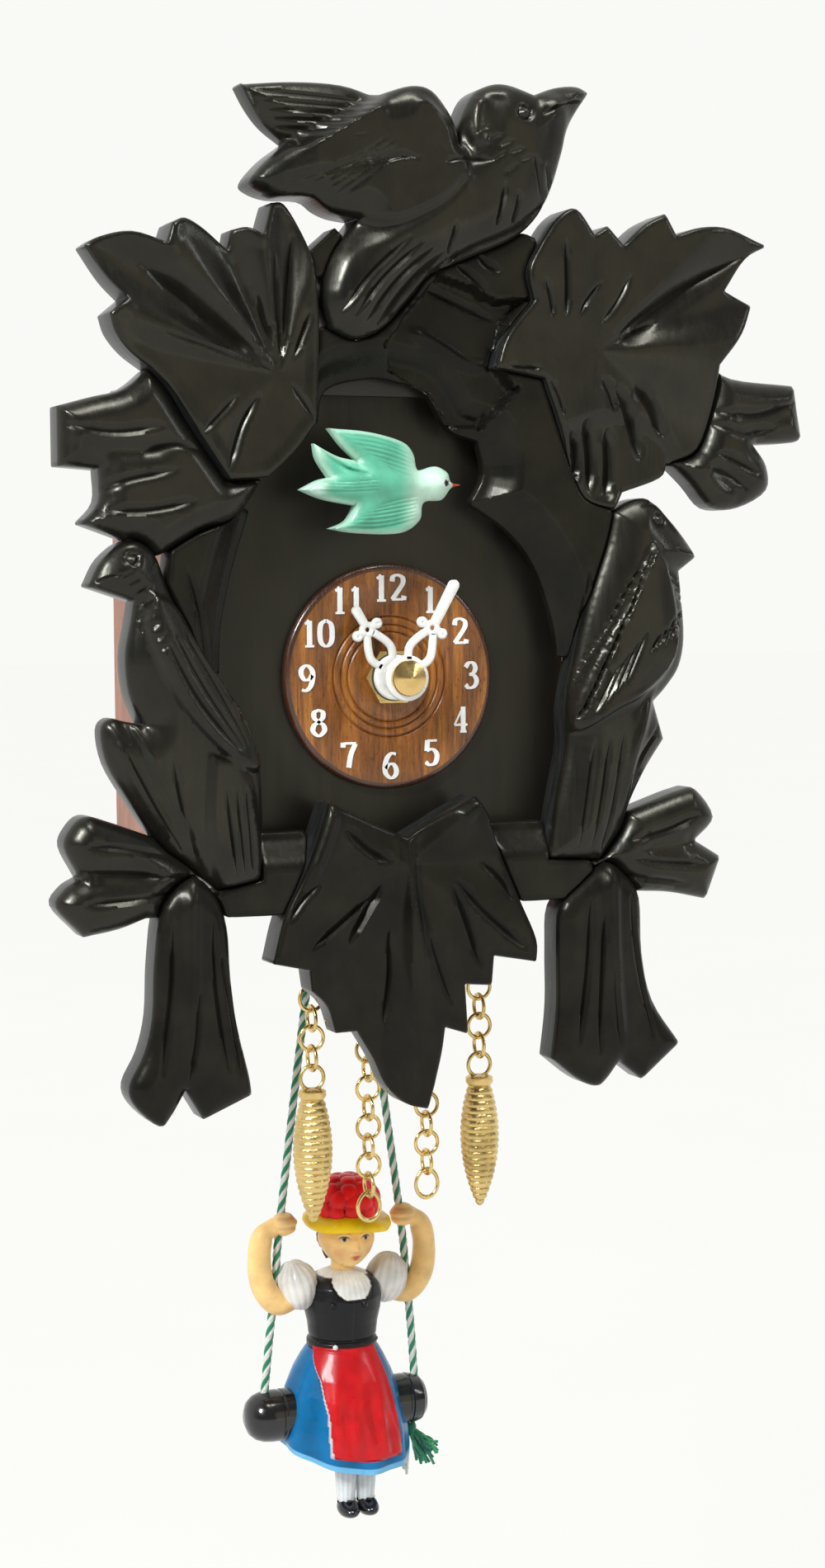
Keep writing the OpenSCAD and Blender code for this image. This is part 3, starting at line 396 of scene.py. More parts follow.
def tube(path, radius, cols=10, twist=0.0, shape=None):
    """A tube along a path; radius is one number or one per point, shape(angle) scales it."""
    path, a, b = frames_along(path)
    radii = np.broadcast_to(radius, len(path))
    verts = []
    for i, p in enumerate(path):
        for j in range(cols):
            t = 2 * math.pi * j / cols
            r = radii[i] * (shape(t, i) if shape else 1)
            verts.append(p + r * (math.cos(t + twist * i) * a[i] + math.sin(t + twist * i) * b[i]))
    return verts, rings_to_faces(len(path), cols)


def curve_through(points, count):
    """A smooth (Catmull-Rom) path of count points through the given ones."""
    pts = np.asarray(points, float)
    ext = np.vstack([2 * pts[0] - pts[1], pts, 2 * pts[-1] - pts[-2]])
    out = []
    for u in np.linspace(0, len(pts) - 1 - TINY, count):
        i = int(u)
        t = u - i
        p0, p1, p2, p3 = ext[i:i + 4]
        out.append(0.5 * (2 * p1 + (p2 - p0) * t + (2 * p0 - 5 * p1 + 4 * p2 - p3) * t * t
                          + (3 * p1 - p0 - 3 * p2 + p3) * t ** 3))
    return np.array(out)


# ---------------------------------------------------------------- cords
GREEN, WHITE = (0.02, 0.23, 0.12), (0.78, 0.8, 0.74)
YARN = yarn("cord_yarn")
CORD_R = 0.75
LAY_MM = 6.4
LINE_LEFT = [(-1.5, -27), (-6, -56), (-11.5, -97), (-12.6, -108), (-14, -120), (-15, -129.5)]
LINE_RIGHT = [(1.5, -27), (6.3, -60), (11.5, -98), (12.6, -109), (13.6, -120), (14.2, -129.5)]


def swing_cord(side, line, pieces=()):
    """Four strands, two green and two white, laid round each other along the CAD route."""
    path, a, b = frames_along(curve_through([(x, SWING_Y, z + DIAL_Z) for x, z in line], 420))
    run = np.r_[0, np.cumsum(np.linalg.norm(np.diff(path, axis=0), axis=1))]
    cols = 20
    verts, tints = [], []
    for i, p in enumerate(path):
        for j in range(cols):
            t = 2 * math.pi * j / cols
            r = CORD_R * (0.78 + 0.22 * abs(math.sin(2 * t)))
            turn = t + 2 * math.pi * run[i] / LAY_MM
            verts.append(p + r * (math.cos(turn) * a[i] + math.sin(turn) * b[i]))
            tints.append(GREEN if (j * 4 // cols) % 2 == 0 else WHITE)
    obj = build("twisted_cord_" + side, verts, rings_to_faces(len(path), cols), [YARN], "swing",
                ["swing_cord_" + side], tint=np.array(tints), sharp=70)


def tassel():
    """A knot, a fan of green yarn ends and a few white ones hanging straighter."""
    heap = Heap()
    rng = random.Random(3)
    top = np.array((13.4, SWING_Y, DIAL_Z - 138.6))
    knot, faces = lathe([(0.02, 1.2), (0.8, 0.9), (1.05, 0.2), (0.85, -0.6), (1.0, -1.1), (0.5, -1.6)], 16,
                        tuple(top), "z", lambda i, t: 1 + 0.1 * math.sin(5 * t + i))
    heap.put(knot, faces, 0, GREEN)
    for k in range(34):
        turn, lean = rng.uniform(0, 2 * math.pi), 0.46 * math.sqrt(rng.random())
        along = Vector((0.53, 0, -0.848))
        side = Vector((math.cos(turn) * 0.848, math.sin(turn), math.cos(turn) * 0.53))
        out = (along + side * lean).normalized()
        size = rng.uniform(5.6, 7.6)
        line = [top + np.array(out) * size * s
                + np.array((rng.uniform(-1, 1), rng.uniform(-1, 1), rng.uniform(-1, 1))) * 0.34 * (s > 0.1)
                for s in (0, 0.25, 0.5, 0.75, 1)]
        v, f = tube(curve_through(line, 14), 0.27, 6)
        heap.put(v, f, 0, tuple(c * rng.uniform(0.7, 1.5) for c in GREEN))
    for k in range(7):
        x = 12.2 + rng.uniform(-0.5, 0.6)
        line = [(12.9, SWING_Y, top[2]), (x, SWING_Y + rng.uniform(-1, 0.6), top[2] - 3.5),
                (x + rng.uniform(-0.5, 0.3), SWING_Y - 1, top[2] - 6 - rng.uniform(0, 2.4))]
        v, f = tube(curve_through(line, 12), 0.24, 6)
        heap.put(v, f, 0, WHITE)
    return heap.make("tassel", [YARN], "swing", ["cord_tassel"], "cord", 70, True)


swing_cord("left", LINE_LEFT)
swing_cord("right", LINE_RIGHT, [tassel()])


# ---------------------------------------------------------------- carving
def cad_loops(node, depth, facing):
    """Closed outlines, in [x, z] from the dial centre, of a CAD node's flat face at that depth."""
    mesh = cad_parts[node].data
    points, count = {}, {}
    for poly in mesh.polygons:
        if poly.normal.y * facing < 0.99 or abs(poly.center.y / MM - depth) > 0.02:
            continue
        keys = []
        for index in poly.vertices:
            co = mesh.vertices[index].co
            key = (round(co.x * 1e6), round(co.z * 1e6))
            points[key] = (co.x / MM, co.z / MM - DIAL_Z)
            keys.append(key)
        for a, b in zip(keys, keys[1:] + keys[:1]):
            count[(a, b)] = count.get((a, b), 0) + 1
    after = {a: b for a, b in count if (b, a) not in count}
    loops = []
    while after:
        start = next(iter(after))
        loop, here = [], start
        while here in after:
            loop.append(points[here])
            here = after.pop(here)
        if len(loop) > 5:
            loops.append(np.array(loop))
    return loops


def sized(v, size):
    """The vector v made as long as size."""
    return v / max(np.linalg.norm(v), TINY) * size


def rounded(loop, step=0.6, corner=34):
    """The outline with its gentle bends made smooth and its true corners kept."""
    n = len(loop)
    before, after = loop - np.roll(loop, 1, 0), np.roll(loop, -1, 0) - loop
    turn = np.degrees(np.abs(np.arctan2(before[:, 0] * after[:, 1] - before[:, 1] * after[:, 0],
                                        (before * after).sum(1))))
    sharp = turn > corner
    out = []
    for i in range(n):
        j = (i + 1) % n
        chord = loop[j] - loop[i]
        size = np.linalg.norm(chord)
        if size < TINY:
            continue
        m0 = chord if sharp[i] else sized(loop[j] - loop[i - 1], size)
        m1 = chord if sharp[j] else sized(loop[(j + 1) % n] - loop[i], size)
        steps = max(1, int(round(size / step)))
        for k in range(steps):
            t = k / steps
            out.append((2 * t ** 3 - 3 * t * t + 1) * loop[i] + (t ** 3 - 2 * t * t + t) * m0
                       + (3 * t * t - 2 * t ** 3) * loop[j] + (t ** 3 - t * t) * m1)
    return np.array(out)


def inside(points, loops):
    """True where a point is inside the outlines, holes counted out."""
    hit = np.zeros(len(points), bool)
    x, z = points[:, 0], points[:, 1]
    for loop in loops:
        for (x1, z1), (x2, z2) in zip(loop, np.roll(loop, -1, 0)):
            if z1 == z2:
                continue
            crosses = (z1 > z) != (z2 > z)
            hit ^= crosses & (x < (x2 - x1) * (z - z1) / (z2 - z1) + x1)
    return hit


def nearest(points, line, closed=False):
    """Distance to a polyline, and how far along it, 0 to 1, the nearest point lies."""
    line = np.asarray(line, float)
    a = line if closed else line[:-1]
    b = np.roll(line, -1, 0) if closed else line[1:]
    best = np.full(len(points), 1e9)
    where = np.zeros(len(points))
    lengths = np.linalg.norm(b - a, axis=1)
    total, run = lengths.sum(), 0.0
    for p, q, size in zip(a, b, lengths):
        t = np.clip(((points - p) @ (q - p)) / max(size * size, TINY), 0, 1)
        d = np.hypot(points[:, 0] - p[0] - t * (q[0] - p[0]), points[:, 1] - p[1] - t * (q[1] - p[1]))
        closer = d < best
        best = np.where(closer, d, best)
        where = np.where(closer, (run + t * size) / total, where)
        run += size
    return best, where


def to_outline(points, loops):
    """Distance from each point to the nearest of the outlines."""
    return np.min([nearest(points, loop, True)[0] for loop in loops], axis=0)


def smoothstep(x):
    """0 below 0, 1 above 1 and a soft rise between."""
    x = np.clip(x, 0, 1)
    return x * x * (3 - 2 * x)


CUT_LINES = []  # every cut made while a relief is worked out, as (path, width)


def groove(points, line, width, depth):
    """A knife cut along a line, deepest in the middle of its length and pointed at both ends."""
    line = curve_through(line, 12) if len(line) > 2 else np.asarray(line, float)
    CUT_LINES.append((line, width))
    d, t = nearest(points, line)
    taper = np.clip(np.minimum(t, 1 - t) * 4, 0, 1) ** 0.6
    return -depth * taper * np.clip(1 - d / (width * (0.35 + 0.65 * taper)), 0, 1)


def grooves(points, *rows):
    """Several cuts, each given as its line, width and depth."""
    return sum(groove(points, *row) for row in rows)


def feathers(points, count, line, step, width, depth, place=np.array):
    """Cuts side by side: each is the line moved on by one more step, then put in its place."""
    line, step = np.array(line, float), np.array(step, float)
    return sum(groove(points, place(line + k * step), width, depth) for k in range(count))


def eye(points, line, rise, bead, cut, ring, width):
    """A round bead with a ring cut about it."""
    away, _ = nearest(points, line)
    return rise * np.exp(-(away / bead) ** 2) - cut * np.exp(-((away - ring) / width) ** 2)


def crease(points, line, width, height):
    """A soft raised or, with a negative height, hollowed fold along a line."""
    d, t = nearest(points, curve_through(line, 12) if len(line) > 2 else line)
    return height * np.exp(-(d / width) ** 2) * smoothstep(np.minimum(t * 5 + 0.35, (1 - t) * 3 + 0.25))


def fan(points, centre, stops, reach):
    """Folds round a centre: stops are (angle in degrees, height), with a soft rise or fall between them."""
    v = points - centre
    angle = np.degrees(np.arctan2(v[:, 1], v[:, 0])) % 360
    stops = sorted((a % 360, h) for a, h in stops)
    angles = [stops[-1][0] - 360] + [a for a, _ in stops] + [stops[0][0] + 360]
    heights = np.array([stops[-1][1]] + [h for _, h in stops] + [stops[0][1]])
    angles = np.array(angles)
    k = np.clip(np.searchsorted(angles, angle, "right") - 1, 0, len(angles) - 2)
    t = smoothstep((angle - angles[k]) / np.maximum(angles[k + 1] - angles[k], TINY))
    away = np.clip(np.hypot(*v.T) / reach, 0, 1)
    return (heights[k] + (heights[k + 1] - heights[k]) * t) * away


def plate(points, outline, rise, edge):
    """A raised layer with a soft edge, such as a wing lying on a body."""
    loop = curve_through(list(outline) + [outline[0]], len(outline) * 6)[:-1]
    d, _ = nearest(points, loop, True)
    signed = np.where(inside(points, [loop]), d, -d)
    return rise * smoothstep(signed / edge + 0.5)


# Millimetres between points along a cut, and the sizes of the cells that keep points apart.
CUT_STEP, FINE_CELL, CLEAR_CELL = 0.32, 0.19, 0.3


def cut_points(relief, loops):
    """Points along and beside every cut of a relief, so that the mesh follows the cuts."""
    CUT_LINES.clear()
    relief(np.zeros((1, 2)), np.ones(1))
    found, cells = [], set()
    for line, width in CUT_LINES:
        size = np.linalg.norm(np.diff(line, axis=0), axis=1)
        run = np.r_[0, np.cumsum(size)]
        at = np.arange(0, run[-1] + 0.01, CUT_STEP)
        path = np.c_[np.interp(at, run, line[:, 0]), np.interp(at, run, line[:, 1])]
        along = np.gradient(path, axis=0) if len(path) > 1 else np.ones((1, 2))
        for side in (0, 0.45, -0.45, 1, -1):
            for p in path + normals(along) * side * width:
                cell = (int(p[0] // FINE_CELL), int(p[1] // FINE_CELL))
                if cell not in cells:
                    cells.add(cell)
                    found.append(p)
    if not found:
        return np.zeros((0, 2))
    found = np.array(found)
    found = found[inside(found, loops)]
    return found[to_outline(found, loops) > 0.6]


def inner_points(relief, loops, step):
    """Mesh points within the outlines: two rows along the edges, the cuts, and a grid in what is left."""
    everything = np.vstack(loops)
    low, high = everything.min(0), everything.max(0)
    rows = np.arange(low[1], high[1], step * 0.87)
    grid = np.array([(x + (i % 2) * step / 2, z) for i, z in enumerate(rows)
                     for x in np.arange(low[0], high[0], step)])
    grid = grid[inside(grid, loops)]
    grid = grid[to_outline(grid, loops) > 0.75]
    near = []
    for offset in (0.14, 0.42):
        for loop in loops:
            normal = normals(np.roll(loop, -1, 0) - np.roll(loop, 1, 0))
            for sign in (-1, 1):
                p = loop + sign * offset * normal
                p = p[inside(p, loops)]
                if len(p):
                    near.append(p[to_outline(p, loops) > offset * 0.9])
    fine = cut_points(relief, loops)
    if len(fine):
        busy = {(int(x // CLEAR_CELL) + i, int(z // CLEAR_CELL) + j)
                for x, z in fine for i in (-1, 0, 1) for j in (-1, 0, 1)}
        grid = np.array([p for p in grid if (int(p[0] // CLEAR_CELL), int(p[1] // CLEAR_CELL)) not in busy])
    return near + [fine, grid]


def carve(name, loops, relief, mats, back=BACK_Y, step=0.42, bevel=0.8, thin=0.8, body="clock",
          paint=None):
    """A carved piece: a relief surface in front, walls round it and a flat back."""
    loops = [rounded(loop) for loop in loops]
    points = np.vstack(loops + inner_points(relief, loops, step))
    edges, start = [], 0
    for loop in loops:
        edges += [(start + i, start + (i + 1) % len(loop)) for i in range(len(loop))]
        start += len(loop)
    outer = start

    def triangles(count):
        made = delaunay_2d_cdt([Vector(p) for p in points[:count]], edges, [], 0, 1e-5)
        verts = np.array([tuple(v) for v in made[0]])
        faces = np.array([tuple(f) for f in made[2]])
        middle = verts[faces].mean(1)
        return verts, faces[inside(middle, loops)], made[3]

    verts, faces, origin = triangles(len(points))
    used = np.unique(faces)
    remap = -np.ones(len(verts), int)
    remap[used] = np.arange(len(used))
    verts, faces = verts[used], remap[faces]
    new_of = {}
    for new, olds in enumerate(origin):
        for old in olds:
            if remap[new] >= 0:
                new_of[old] = remap[new]
    to_edge = to_outline(verts, loops)
    height = relief(verts, to_edge)
    edge_drop = bevel * (1 - np.sqrt(np.clip(1 - (1 - np.clip(to_edge / bevel, 0, 1)) ** 2, 0, 1)))
    height = np.maximum(height - edge_drop, thin)
    front = np.c_[verts[:, 0], back - height, verts[:, 1] + DIAL_Z]
    flat_verts, flat_faces, flat_origin = triangles(outer)
    base = len(front)
    rim = np.c_[flat_verts[:, 0], np.full(len(flat_verts), back), flat_verts[:, 1] + DIAL_Z]
    rim_of = {old: base + new for new, olds in enumerate(flat_origin) for old in olds}
    all_faces = [tuple(f) for f in faces] + [tuple(base + i for i in f[::-1]) for f in flat_faces]
    sides = [0] * len(faces) + [1] * len(flat_faces)
    for a, b in edges:
        if a in new_of and b in new_of:
            quad = (new_of[a], new_of[b], rim_of[b], rim_of[a])
            if len(set(quad)) == 4:
                all_faces.append(quad)
                sides.append(1)
    tint = None
    if paint:
        flat_edge = to_outline(flat_verts, loops)
        tint = np.vstack([paint(verts, to_edge, height), paint(flat_verts, flat_edge, flat_edge)])
    return build("carved_" + name, np.vstack([front, rim]), all_faces, mats, body,
                 [name], sides, 42, tint)


def dome(to_edge, rise, reach):
    """A round rise from the edge that is level from reach inward."""
    return rise * (1 - (1 - np.clip(to_edge / reach, 0, 1)) ** 2)


def cuts(points, start, end, count, length, angle, width=0.35, depth=0.35, wander=8):
    """A row of short chisel cuts from start to end, each leaning at angle."""
    rng = random.Random(int(abs(start[0] * 31 + start[1] * 17)))
    total = np.zeros(len(points))
    for i in range(count):
        t = i / max(1, count - 1)
        x = start[0] + (end[0] - start[0]) * t
        z = start[1] + (end[1] - start[1]) * t
        a = math.radians(angle + rng.uniform(-wander, wander))
        half = length * rng.uniform(0.8, 1.15) / 2
        dx, dz = half * math.cos(a), half * math.sin(a)
        total += groove(points, [(x - dx, z - dz), (x + dx, z + dz)], width, depth)
    return total


def lean(points):
    """Moves the upper part of the top bird to the right, to where the carving stands."""
    points = np.array(points, float)
    up = smoothstep((points[..., 1] - 57) / 23)
    points[..., 0] += 0.6 + 3.1 * up
    points[..., 1] -= 0.9 * np.clip((points[..., 1] - 85) / 10, 0, 1)
    return points


BIRD_HIGH, LEAF_HIGH = 9.45, 7.75  # the most that a relief may stand off its back


def top_bird(p, d):
    h = 5.6 + dome(d, 2.6, 7)
    far_wing = [(-32, 98), (-20, 99), (-12, 99), (-7, 97.5), (-14, 91), (-22.5, 86.5), (-27, 89)]
    h -= plate(p, lean(far_wing), 2.3, 2.0)
    h += feathers(p, 6, [(-29, 96), (-18, 95.6), (-9, 95)], [(0.8, -1.6), (0.5, -1.5), (0, -1.2)],
                  0.5, 0.4, lean)
    near = [(-31, 80.5), (-27.5, 84.5), (-19, 89.5), (-11, 94.5), (-3, 98.5), (2, 97), (6, 89), (6, 84),
            (2, 79), (-6, 75), (-12, 75), (-18, 76), (-26, 78)]
    h += plate(p, lean(near), 1.5, 2.2)
    h += crease(p, lean([(-29, 81.5), (-18, 88), (-8, 94), (-3, 95.5)]), 1.5, 0.5)
    h += crease(p, lean([(-3, 95.5), (1, 92), (4, 86), (7, 81)]), 1.2, 0.7)
    h += feathers(p, 7, [(-27, 80.2), (-16, 83.5), (-4, 91)], [(1.7, -0.45), (1.6, 0.2), (0.7, -1.2)],
                  0.75, 0.36, lean)
    body = [(-15, 63), (-13, 57), (-8, 54), (0, 62), (6, 67), (16, 72), (23, 79), (26, 88), (24, 97),
            (15, 99), (8, 96), (7, 88), (4, 80), (-6, 73), (-13, 70)]
    h += plate(p, lean(body), 0.8, 3)
    h += crease(p, lean([(24, 79), (17, 73.6), (8, 69.6), (1, 64.5), (-5, 58)]), 0.9, 0.45)
    h += groove(p, lean([(23.5, 80.5), (16, 74.8), (8, 71), (1, 66)]), 0.8, 0.5)
    h += feathers(p, 5, [(-13, 59.5), (-9, 66), (-3, 72.5)], [(2.1, -0.8), (2.3, -0.6), (2.4, -0.6)],
                  0.7, 0.6, lean)
    h += crease(p, lean([(9, 97), (8.2, 92), (9, 87.5)]), 1.1, 0.6)
    h -= crease(p, lean([(12, 97.5), (11, 91), (12, 86)]), 1.6, 0.5)
    h += groove(p, lean([(20, 94.2), (25, 96.6), (30, 97.8)]), 0.45, 0.45)
    h += crease(p, lean([(20.5, 95.6), (26, 98), (30, 98.2)]), 1.0, 0.4)
    h += eye(p, lean([(16.9, 94.4), (17.1, 94.4)]), 0.5, 0.55, 0.55, 1.05, 0.32)
    h += cuts(p, lean((9.5, 91)), lean((17, 86)), 5, 3.2, 20, 0.45, 0.2)
    h += cuts(p, lean((10, 88.5)), lean((14, 84)), 3, 3.5, 35, 0.45, 0.18)
    for line in ([(18.5, 87), (19.5, 83), (20.5, 79.5)], [(21, 85.5), (21.8, 83), (22, 81)],
                 [(13, 81.5), (12.5, 78), (12, 74.5)], [(15.6, 80.5), (15.4, 78), (15, 75)],
                 [(4.6, 75), (4.4, 71), (4.6, 69.5)], [(2, 84.5), (6, 85.4), (11, 85.4)]):
        h += groove(p, lean(line), 0.6, 0.6)
    return np.minimum(h, BIRD_HIGH)


def left_bird(p, d):
    h = 4.9 + dome(d, 2.4, 6)
    twig = [(-53, -5), (-48.5, -6), (-44, -15), (-39, -24), (-36, -31), (-39, -32), (-46, -24), (-52, -14)]
    h += plate(p, twig, -1.0, 1.2) + crease(p, [(-50.5, -9), (-46, -17.5), (-40, -27)], 1.1, 0.9)
    h += groove(p, [(-49, -10.5), (-44.5, -19), (-39.5, -27.5)], 0.5, 0.5)
    wing = [(-44.5, 14.5), (-39.5, 11.5), (-34, 4), (-30, -3), (-26.6, -11), (-26.3, -14), (-29, -14),
            (-34, -10.5), (-39.5, -4.5), (-43, 2), (-45.5, 9)]
    h += plate(p, wing, 1.5, 1.2)
    h += crease(p, [(-44, 8), (-40, -1), (-34, -9), (-28, -13)], 0.8, 0.35)
    h += feathers(p, 5, [(-42.6, 7), (-37.5, -2.5), (-30.4, -11.2)], [(1.5, 0.9), (1.6, 1.2), (0.8, 0.4)],
                  0.6, 0.5)
    h += cuts(p, (-46.3, 12.5), (-43.6, 5.5), 5, 3.2, 28, 0.5, 0.28)
    h += cuts(p, (-48.5, 17.5), (-44.5, 13.5), 4, 2.8, 35, 0.5, 0.25)
    h += cuts(p, (-46.8, 20), (-41, 17.5), 3, 2.6, 60, 0.5, 0.2)
    h += eye(p, [(-47.8, 19.9), (-47.6, 19.9)], 0.4, 0.5, 0.45, 0.95, 0.3)
    h += groove(p, [(-54, 16), (-51, 17.2), (-48.8, 17.4)], 0.4, 0.4)
    tail = [(-35, -12), (-30, -13.5), (-27.5, -20), (-26.3, -32), (-33, -33), (-35.5, -24)]
    h += plate(p, tail, 0.8, 1.5)
    h += feathers(p, 3, [(-32.8, -17), (-32, -24), (-31, -31.5)], [(1.7, 0), (1.7, 0), (1.5, 0)], 0.55, 0.5)
    h += groove(p, [(-41.5, -12), (-40, -20), (-37.5, -28)], 0.55, 0.5)
    return np.minimum(h, BIRD_HIGH)


def right_bird(p, d):
    h = 5.0 + dome(d, 3.0, 7)
    wing = [(44.8, 22), (47.5, 18), (49.5, 10), (49, 3), (44, -2.5), (37, -6), (31, -9.5), (29.8, -6.5),
            (32.5, 1), (37.5, 9.5), (41.5, 16)]
    h += plate(p, wing, 1.4, 1.2)
    h += crease(p, [(49.6, 8), (47, 0), (41, -4.4), (33, -8.4)], 0.8, 0.4)
    h += cuts(p, (44, 20), (31.5, -6), 17, 3.6, 62, 0.42, 0.5)
    h += cuts(p, (41.5, 17), (30.6, -2), 12, 2.6, 40, 0.4, 0.4)
    h += feathers(p, 4, [(33.2, -6.6), (35.4, -2.4), (37.6, 1.8)], [(1.8, 1.5), (1.8, 1.7), (1.8, 1.9)],
                  0.5, 0.42)
    h += cuts(p, (44.8, 5.5), (50.2, 9), 5, 4.4, 62, 0.5, 0.5)
    h += cuts(p, (49, 17), (51.6, 12.6), 4, 3, -28, 0.45, 0.45)
    h += eye(p, [(46.6, 26.4), (46.9, 26.3)], 0.45, 0.55, 0.55, 1.05, 0.34)
    h += groove(p, [(54.4, 20.4), (52, 21), (49.5, 21.6)], 0.42, 0.42)
    h += groove(p, [(43.6, 28.5), (47, 29.4), (50, 26)], 0.5, 0.5)
    h += feathers(p, 3, [(34, -11), (32.6, -20), (31, -30)], [(2.6, 0.6), (2.6, 0), (2.4, 0)], 0.6, 0.55)
    h += crease(p, [(45.5, -3), (41.5, -13), (39.6, -24)], 0.9, 0.7)
    h += groove(p, [(47, -9), (43, -14.5), (41.5, -20)], 0.6, 0.6)
    return np.minimum(h, BIRD_HIGH)


def left_leaf(p, d):
    stops = [(148, -0.8), (131, 1.4), (112, -1.5), (97, 0.5), (84, -0.9), (70, 0.7), (10, 0.2),
             (-60, 0.5), (-118, 0.2), (-150, 0.9), (172, 0.3), (160, 1.2)]
    h = 6.2 + fan(p, (-22.5, 49.5), stops, 15)
    h += crease(p, [(-27, 53.5), (-35, 60), (-44, 65.5)], 1.9, -0.9)
    h += grooves(p, ([(-24, 51.6), (-33, 57.6), (-39, 62.4), (-46.5, 67)], 1.0, 0.8),
                 ([(-24, 50.4), (-33, 53.2), (-42.5, 56)], 0.6, 0.4),
                 ([(-19.5, 72.5), (-20.6, 62), (-21.6, 52.5)], 0.7, 0.7),
                 ([(-22.8, 69), (-22.4, 60), (-21.9, 52)], 0.6, 0.6),
                 ([(-26, 62.5), (-24.8, 58), (-23.2, 54)], 0.6, 0.6),
                 ([(-17, 60), (-18.6, 55.5), (-20, 52)], 0.6, 0.6),
                 ([(-26, 46.2), (-29, 41), (-31.2, 33.8)], 0.8, 0.7),
                 ([(-29.6, 46), (-33, 42.6), (-36, 39.6)], 0.7, 0.55),
                 ([(-20.2, 48), (-18, 45), (-16.4, 42.4)], 0.6, 0.5),
                 ([(-41.8, 46.5), (-40.4, 42), (-38.4, 37)], 0.7, 0.6))
    h += 0.36 * np.clip(1 - d / 2.5, 0, 1)
    return np.minimum(h, LEAF_HIGH)


def right_leaf(p, d):
    stops = [(31, -0.9), (46, 0.8), (78, 0.4), (112, 0.8), (165, 0.5), (-130, 0.7), (-85, -0.2), (-45, -0.9),
             (2, 1.0), (22, -1.0)]
    h = 6.3 + fan(p, (35.5, 55), stops, 17)
    h += crease(p, [(40, 57), (52, 65), (62, 71)], 1.8, -0.9)
    h += grooves(p, ([(39, 57.4), (50, 64.6), (60, 70), (67, 73.4)], 0.8, 0.6),
                 ([(39.5, 56.4), (43, 58.4), (47, 60.2)], 0.6, 0.5),
                 ([(35.8, 59.5), (38.6, 63), (41.2, 67.6)], 0.6, 0.5),
                 ([(31.4, 60.5), (33, 63.4), (35.6, 66.4)], 0.5, 0.45),
                 ([(29.2, 60.5), (29.2, 66), (28.8, 73)], 0.7, 0.8),
                 ([(26.6, 60.4), (26.2, 63), (25.2, 66.4)], 0.6, 0.6),
                 ([(18, 52), (21, 51.7), (24.4, 51.7)], 0.5, 0.5),
                 ([(36, 50.5), (37.6, 48), (38.8, 44.4)], 1.1, 0.9),
                 ([(38.6, 49), (41.8, 44), (44.2, 36.8)], 1.4, 1.5),
                 ([(42.4, 49.6), (45.6, 46), (48.4, 40.6)], 1.4, 1.5),
                 ([(33.2, 43.8), (34.2, 37), (34.2, 31)], 1.3, 1.5),
                 ([(30.6, 41.4), (31.4, 37), (31.4, 32.6)], 1.2, 1.4),
                 ([(37.4, 42), (37.8, 36), (37.4, 30)], 1.3, 1.5),
                 ([(26, 50), (27.6, 47), (28.6, 44)], 0.5, 0.5))
    h += plate(p, [(30, 42), (40, 44), (49, 40), (50, 34), (42, 31), (34, 29.5), (29, 34)], -1.0, 3)
    return np.minimum(h, LEAF_HIGH)


def bottom_leaf(p, d):
    stops = [(-85, 1.7), (-99, -1.5), (-150, 0.5), (160, 1.0), (112, -0.5), (90, 0.5), (60, -0.4), (34, 0.9),
             (0, -0.6), (-40, 0.3), (-68, 0.6)]
    h = 5.9 + fan(p, (-0.5, -31), stops, 16)
    h += crease(p, [(-0.4, -27), (0.8, -50), (2.6, -72)], 1.1, 1.3)
    h += grooves(p, ([(-4.8, -34), (-8, -39), (-11, -44)], 1.0, 1.0),
                 ([(-6.4, -35.8), (-12, -40), (-18, -44.6)], 0.8, 0.8),
                 ([(-16, -33.4), (-19, -36), (-22, -40)], 0.7, 0.6),
                 ([(-11.6, -24.5), (-7, -28.6), (-3, -30.6)], 0.9, 0.8),
                 ([(8, -35), (10.6, -42), (12.8, -49)], 0.8, 0.8),
                 ([(8.6, -34), (14, -40), (21.6, -46.6)], 0.8, 0.7),
                 ([(3.4, -43), (5.2, -49), (7.4, -55)], 0.7, 0.6),
                 ([(-3.2, -42), (-3.2, -50), (-4.4, -58)], 0.7, 0.7),
                 ([(13.2, -31), (17, -34.6), (19, -38)], 0.6, 0.6))
    h += crease(p, [(9, -24), (12.5, -21.8), (15, -25)], 1.4, 1.0)
    h += crease(p, [(-13.6, -21), (-15, -26), (-18, -33)], 1.0, 0.8)
    return np.minimum(h, LEAF_HIGH)


def foot(lines, ridge):
    """A long leaf pointing down, with a raised middle."""
    def relief(p, d):
        h = 5.4 + dome(d, 1.5, 3.5) + crease(p, ridge, 1.3, 1.1)
        for line in lines:
            h += groove(p, line, 0.8, 0.75)
        return np.minimum(h, LEAF_HIGH)
    return relief


def branch(lines, hollows):
    """A rounded branch with long cuts and soft hollows."""
    def relief(p, d):
        h = 4.6 + dome(d, 2.4, 4)
        for line in lines:
            h += groove(p, line, 0.9, 0.7)
        for line in hollows:
            h += crease(p, line, 1.8, -0.9)
        return np.minimum(h, LEAF_HIGH)
    return relief


BOARD_BACK, BOARD_DEEP, COVE = -42.5, 5.6, 6.5
arch_line = min(cad_loops("front_board", BOARD_BACK, 1), key=lambda l: np.ptp(l[:, 0]) * np.ptp(l[:, 1]))


